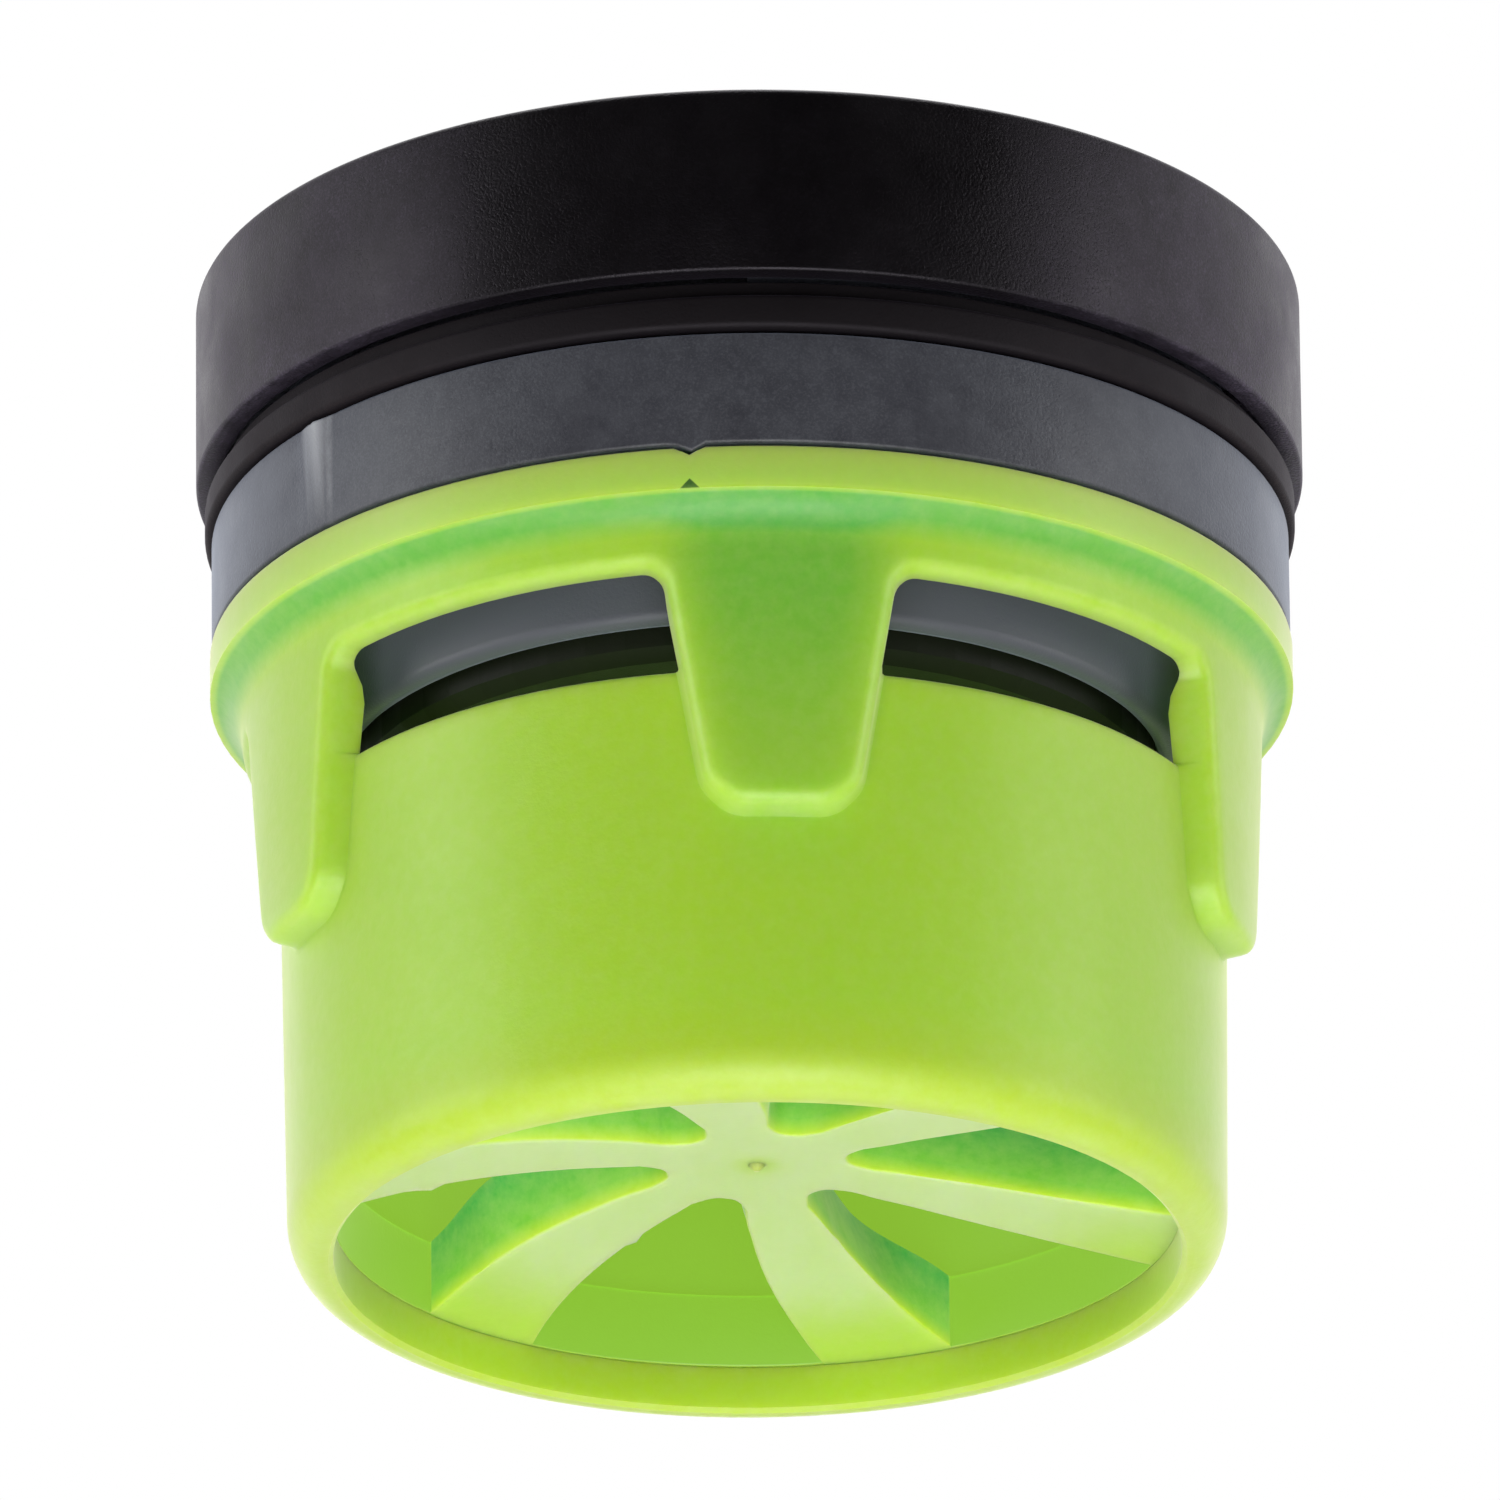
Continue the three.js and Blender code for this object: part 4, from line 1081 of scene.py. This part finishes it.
makeSealBand()
print("seal band done")


# cap: turned shell, with a rounded pocket in its top for the folding hanger

cap, crown = capRadius / mm, capTop / mm
capParts = {  # millimetres and degrees
    "radius": cap, "bore": cap - 2.0, "foot": capLow / mm, "ceiling": crown - 2.4, "upper": crown,
    "rounding": 0.7, "lip": 0.3, "pressInner": cap - 6.5, "pressOuter": cap - 2.8, "press": crown - 7.2,
    "pocketHalf": 18.8, "pocketFront": -4.0, "arm": 10.0, "pocketBase": crown - 5.0, "centre": 8.0,
    "frontBlend": 2.2, "backBlend": 6.0, "panBottom": crown - 6.8, "panWall": 2.2,
    "lugs": 3, "lugStart": 70, "lugSpan": 24, "lugSteps": 14, "lead": 12, "threadDepth": 1.9,
    "lugFoot": 0.8, "lugTip": 0.5, "lugHeight": 68.833,
}


def pocketReach(angle, grow):
    # distance from the pocket's centre to its outline, straight sides and a half-round back
    c, tiny = capParts, 1e-6
    dx, dy = math.cos(angle), math.sin(angle)
    half, front, back = c["pocketHalf"] + grow, c["pocketFront"] - grow, c["arm"]
    reaches = []
    if abs(dx) > tiny:
        reach = half / abs(dx)
        if c["centre"] + reach * dy <= back:
            reaches.append(reach)
    if dy < -tiny:
        reaches.append((front - c["centre"]) / dy)
    lift = c["centre"] - back
    root = math.sqrt(max(0.0, (lift * dy) ** 2 - lift ** 2 + half ** 2))
    around = -lift * dy + root
    if c["centre"] + around * dy > back or not reaches:
        reaches.append(around)
    if len(reaches) == 1:
        return reaches[0]
    # the two outlines are blended where they cross
    blend, nearest = c["frontBlend"] if dy < 0 else c["backBlend"], min(reaches)
    return -math.log(sum(math.exp(-blend * (r - nearest)) for r in reaches)) / blend + nearest


def pocketLoop(verts, grow, height):
    c = capParts
    for vert in verts:
        angle = math.atan2(vert.co.y - c["centre"] * mm, vert.co.x)
        reach = pocketReach(angle, grow)
        vert.co = Vector((reach * math.cos(angle), c["centre"] + reach * math.sin(angle), height)) * mm


def growLoop(bm, edges, move):
    # extrudes a loop of edges and moves the new one
    grown = bmesh.ops.extrude_edge_only(bm, edges=edges)["geom"]
    verts = [item for item in grown if isinstance(item, bmesh.types.BMVert)]
    fresh = set(verts)
    newEdges = [item for item in grown if isinstance(item, bmesh.types.BMEdge)
                and all(v in fresh for v in item.verts)]
    move(verts)
    return newEdges


def growPocket(bm, loop, outlines):
    # one ring of faces for each (growth, height), then a face across the last
    for grow, height in outlines:
        loop = growLoop(bm, loop, lambda verts, grow=grow, height=height: pocketLoop(verts, grow, height))
    bmesh.ops.contextual_create(bm, geom=loop)


def makeCap():
    c = capParts
    upper, ceiling, base, pan = c["upper"], c["ceiling"], c["pocketBase"], c["panWall"]
    corners = [
        (42.6, upper, 0), (43.6, upper, 0), (c["radius"], upper, c["rounding"]),
        (c["radius"], c["foot"], c["lip"]), (c["bore"], c["foot"], 0.4), (c["bore"], ceiling, 0.4),
        (c["pressOuter"], ceiling, 0.2), (c["pressOuter"], c["press"], 0.3),
        (c["pressInner"], c["press"], 0.3), (c["pressInner"], ceiling, 0.5), (36.5, ceiling, 0),
    ]
    bm = bmesh.new()
    turnSection(bm, corners, 240, False)
    bmesh.ops.remove_doubles(bm, verts=bm.verts, dist=0.002 * mm)
    rims = [e for e in bm.edges if e.is_boundary]
    outside = [e for e in rims if e.verts[0].co.z > (upper - 0.5) * mm]
    underneath = [e for e in rims if e.verts[0].co.z < (upper - 0.5) * mm]
    # top face in to the pocket, then down its wall and across its floor
    growPocket(bm, outside, [
        (3.2, upper), (0.7, upper), (0.45, upper - 0.04), (0.18, upper - 0.18), (0.04, upper - 0.45),
        (0.0, upper - 0.8), (0.0, base + 0.9), (-0.12, base + 0.35), (-0.4, base + 0.08), (-0.9, base),
        (-3.0, base), (-8.0, base)])
    # the same from underneath, round the pan that hangs below the pocket
    foot = c["panBottom"]
    growPocket(bm, underneath, [
        (pan + 1.2, ceiling), (pan + 0.1, ceiling - 0.3), (pan, ceiling - 0.9), (pan, foot + 0.7),
        (pan - 0.2, foot + 0.15), (pan - 0.8, foot), (-3.0, foot), (-8.0, foot)])
    cleanSkin(bm)
    root, crest, middle = c["bore"] + 0.3, c["bore"] - c["threadDepth"], c["lugHeight"]
    section = [(root, middle - c["lugFoot"]), (crest, middle - c["lugTip"]),
               (crest, middle + c["lugTip"]), (root, middle + c["lugFoot"])]
    for lug in range(c["lugs"]):
        spinThread(bm, section, c["lugStart"] + 120 * lug, c["lugSpan"], c["lead"], c["lugSteps"])
    bmesh.ops.recalc_face_normals(bm, faces=bm.faces)
    return finishPiece(bm, "screwCap", finish["cap"], "cap", ["cap_shell"])


makeCap()
print("cap done")


# folding hanger: a round bail with an eye at each end

hanger = {  # millimetres
    "half": 16.0, "arm": 10.0, "radius": 1.9, "start": 0.6, "armSteps": 4, "bendSteps": 48,
    "eyeRadius": 2.1, "eyeWidth": 4.4, "hole": 1.4, "height": capTop / mm - 2.5,
}


def makeHanger():
    h = hanger
    bm = bmesh.new()
    ring = bmesh.ops.create_circle(bm, cap_ends=False, segments=24, radius=h["radius"] * mm)["verts"]
    bmesh.ops.rotate(bm, verts=ring, cent=(0, 0, 0), matrix=Matrix.Rotation(math.radians(90), 3, "X"))
    bmesh.ops.translate(bm, verts=ring, vec=Vector((h["half"], h["start"], h["height"])) * mm)

    def along(edges, offset):
        step = Vector(offset) * mm
        return growLoop(bm, edges, lambda verts: bmesh.ops.translate(bm, verts=verts, vec=step))

    loop, stride = bm.edges[:], (h["arm"] - h["start"]) / h["armSteps"]
    for _ in range(h["armSteps"]):
        loop = along(loop, (0, stride, 0))
    geom = loop + list({v for e in loop for v in e.verts})
    bent = bmesh.ops.spin(bm, geom=geom, cent=Vector((0, h["arm"], h["height"])) * mm, axis=(0, 0, 1),
                          dvec=(0, 0, 0), angle=math.pi, steps=h["bendSteps"], use_duplicate=False)
    loop = [item for item in bent["geom_last"] if isinstance(item, bmesh.types.BMEdge)]
    for _ in range(h["armSteps"]):
        loop = along(loop, (0, -stride, 0))
    for side in (-1, 1):
        # an eye: a short tube with rounded rims
        eye = bmesh.new()
        width = h["eyeWidth"] / 2
        corners = [(h["hole"], -width, 0.25), (h["eyeRadius"], -width, 0.3), (h["eyeRadius"], width, 0.3),
                   (h["hole"], width, 0.25)]
        turnSection(eye, corners, 32)
        aside = Matrix.Rotation(math.radians(90), 3, "Y")
        bmesh.ops.rotate(eye, verts=eye.verts, cent=(0, 0, 0), matrix=aside)
        bmesh.ops.translate(eye, verts=eye.verts, vec=Vector((side * h["half"], 0, h["height"])) * mm)
        cleanSkin(eye)
        part = bpy.data.meshes.new("eye")
        eye.to_mesh(part)
        eye.free()
        bm.from_mesh(part)
        bpy.data.meshes.remove(part)
    bmesh.ops.holes_fill(bm, edges=[e for e in bm.edges if e.is_boundary], sides=30)
    bmesh.ops.recalc_face_normals(bm, faces=bm.faces)
    return finishPiece(bm, "hangerBail", finish["hanger"], "hanger", ["hanger_bail"])


makeHanger()
print("hanger done")


# CAD nodes that stay as they are

kept = {
    "lure_cup": "cup", "lure_lid": "ivory", "scent_mesh": "mesh", "bait_puck": "bait", "cap_seal": "rubber",
    "head_gasket": "rubber", "hanger_pin_right": "steel", "hanger_pin_left": "steel",
}
for node, key in kept.items():
    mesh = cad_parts[node].data
    mesh.materials.clear()
    mesh.materials.append(finish[key])
print("kept parts painted")


# floor, backdrop light and lamps

studio = {
    "floorHeight": -1.1, "floorSize": 8.0, "floorColor": linear(236, 236, 236), "backdrop": 1.0,
    "frontFill": 0.02, "backFill": 1.35, "turnFrom": -0.30, "turnTo": 0.75,  # dark in front, bright behind
    # place, aim height, width, height, power
    "lamps": {
        "frontPanel": ((0.0, -0.50, -0.42), 0.02, 0.60, 0.40, 3.6),
        "underPanel": ((0.0, -0.05, -0.60), 0.02, 0.60, 0.60, 0.8),
        "leftPanel": ((-0.62, -0.16, 0.10), 0.03, 0.30, 0.50, 1.6),
        "rightPanel": ((0.62, -0.16, 0.10), 0.03, 0.30, 0.50, 1.3),
        "topPanel": ((0.0, 0.15, 0.75), 0.04, 0.60, 0.60, 2.0),
    },
}


def makeStudio():
    s = studio
    bm = bmesh.new()
    bmesh.ops.create_grid(bm, x_segments=1, y_segments=1, size=s["floorSize"] / 2)
    bmesh.ops.translate(bm, verts=bm.verts, vec=(0, 0, s["floorHeight"]))
    mesh = bpy.data.meshes.new("floor")
    bm.to_mesh(mesh)
    bm.free()
    material, tree, shader = newMaterial("paleFloor")
    setInputs(shader, {"Base Color": s["floorColor"], "Roughness": 0.9})
    mesh.materials.append(material)
    floor = bpy.data.objects.new("floor", mesh)
    bpy.context.scene.collection.objects.link(floor)

    world = bpy.data.worlds.new("backdrop")
    bpy.context.scene.world = world
    world.use_nodes = True
    tree = world.node_tree
    tree.nodes.clear()
    path = tree.nodes.new("ShaderNodeLightPath")
    seen = addNode(tree, "ShaderNodeBackground", {"Color": (1, 1, 1, 1), "Strength": s["backdrop"]})
    fill = addNode(tree, "ShaderNodeBackground", {"Color": (1, 1, 1, 1)})
    around = tree.nodes.new("ShaderNodeTexCoord")
    split = tree.nodes.new("ShaderNodeSeparateXYZ")
    turn = addNode(tree, "ShaderNodeMapRange", {"From Min": s["turnFrom"], "From Max": s["turnTo"],
                                                "To Min": s["frontFill"], "To Max": s["backFill"]})
    tree.links.new(around.outputs["Generated"], split.inputs[0])
    tree.links.new(split.outputs["Y"], turn.inputs["Value"])
    tree.links.new(turn.outputs["Result"], fill.inputs["Strength"])
    either = tree.nodes.new("ShaderNodeMixShader")
    out = tree.nodes.new("ShaderNodeOutputWorld")
    tree.links.new(path.outputs["Is Camera Ray"], either.inputs["Fac"])
    tree.links.new(fill.outputs[0], either.inputs[1])
    tree.links.new(seen.outputs[0], either.inputs[2])
    tree.links.new(either.outputs[0], out.inputs["Surface"])

    for name, (place, aim, width, height, power) in s["lamps"].items():
        lamp = bpy.data.lights.new(name, "AREA")
        lamp.shape = "RECTANGLE"
        lamp.size, lamp.size_y, lamp.energy = width, height, power
        obj = bpy.data.objects.new(name, lamp)
        bpy.context.scene.collection.objects.link(obj)
        obj.location = place
        obj.rotation_euler = (Vector((0, 0, aim)) - Vector(place)).to_track_quat("-Z", "Y").to_euler()


makeStudio()
print("studio lit")
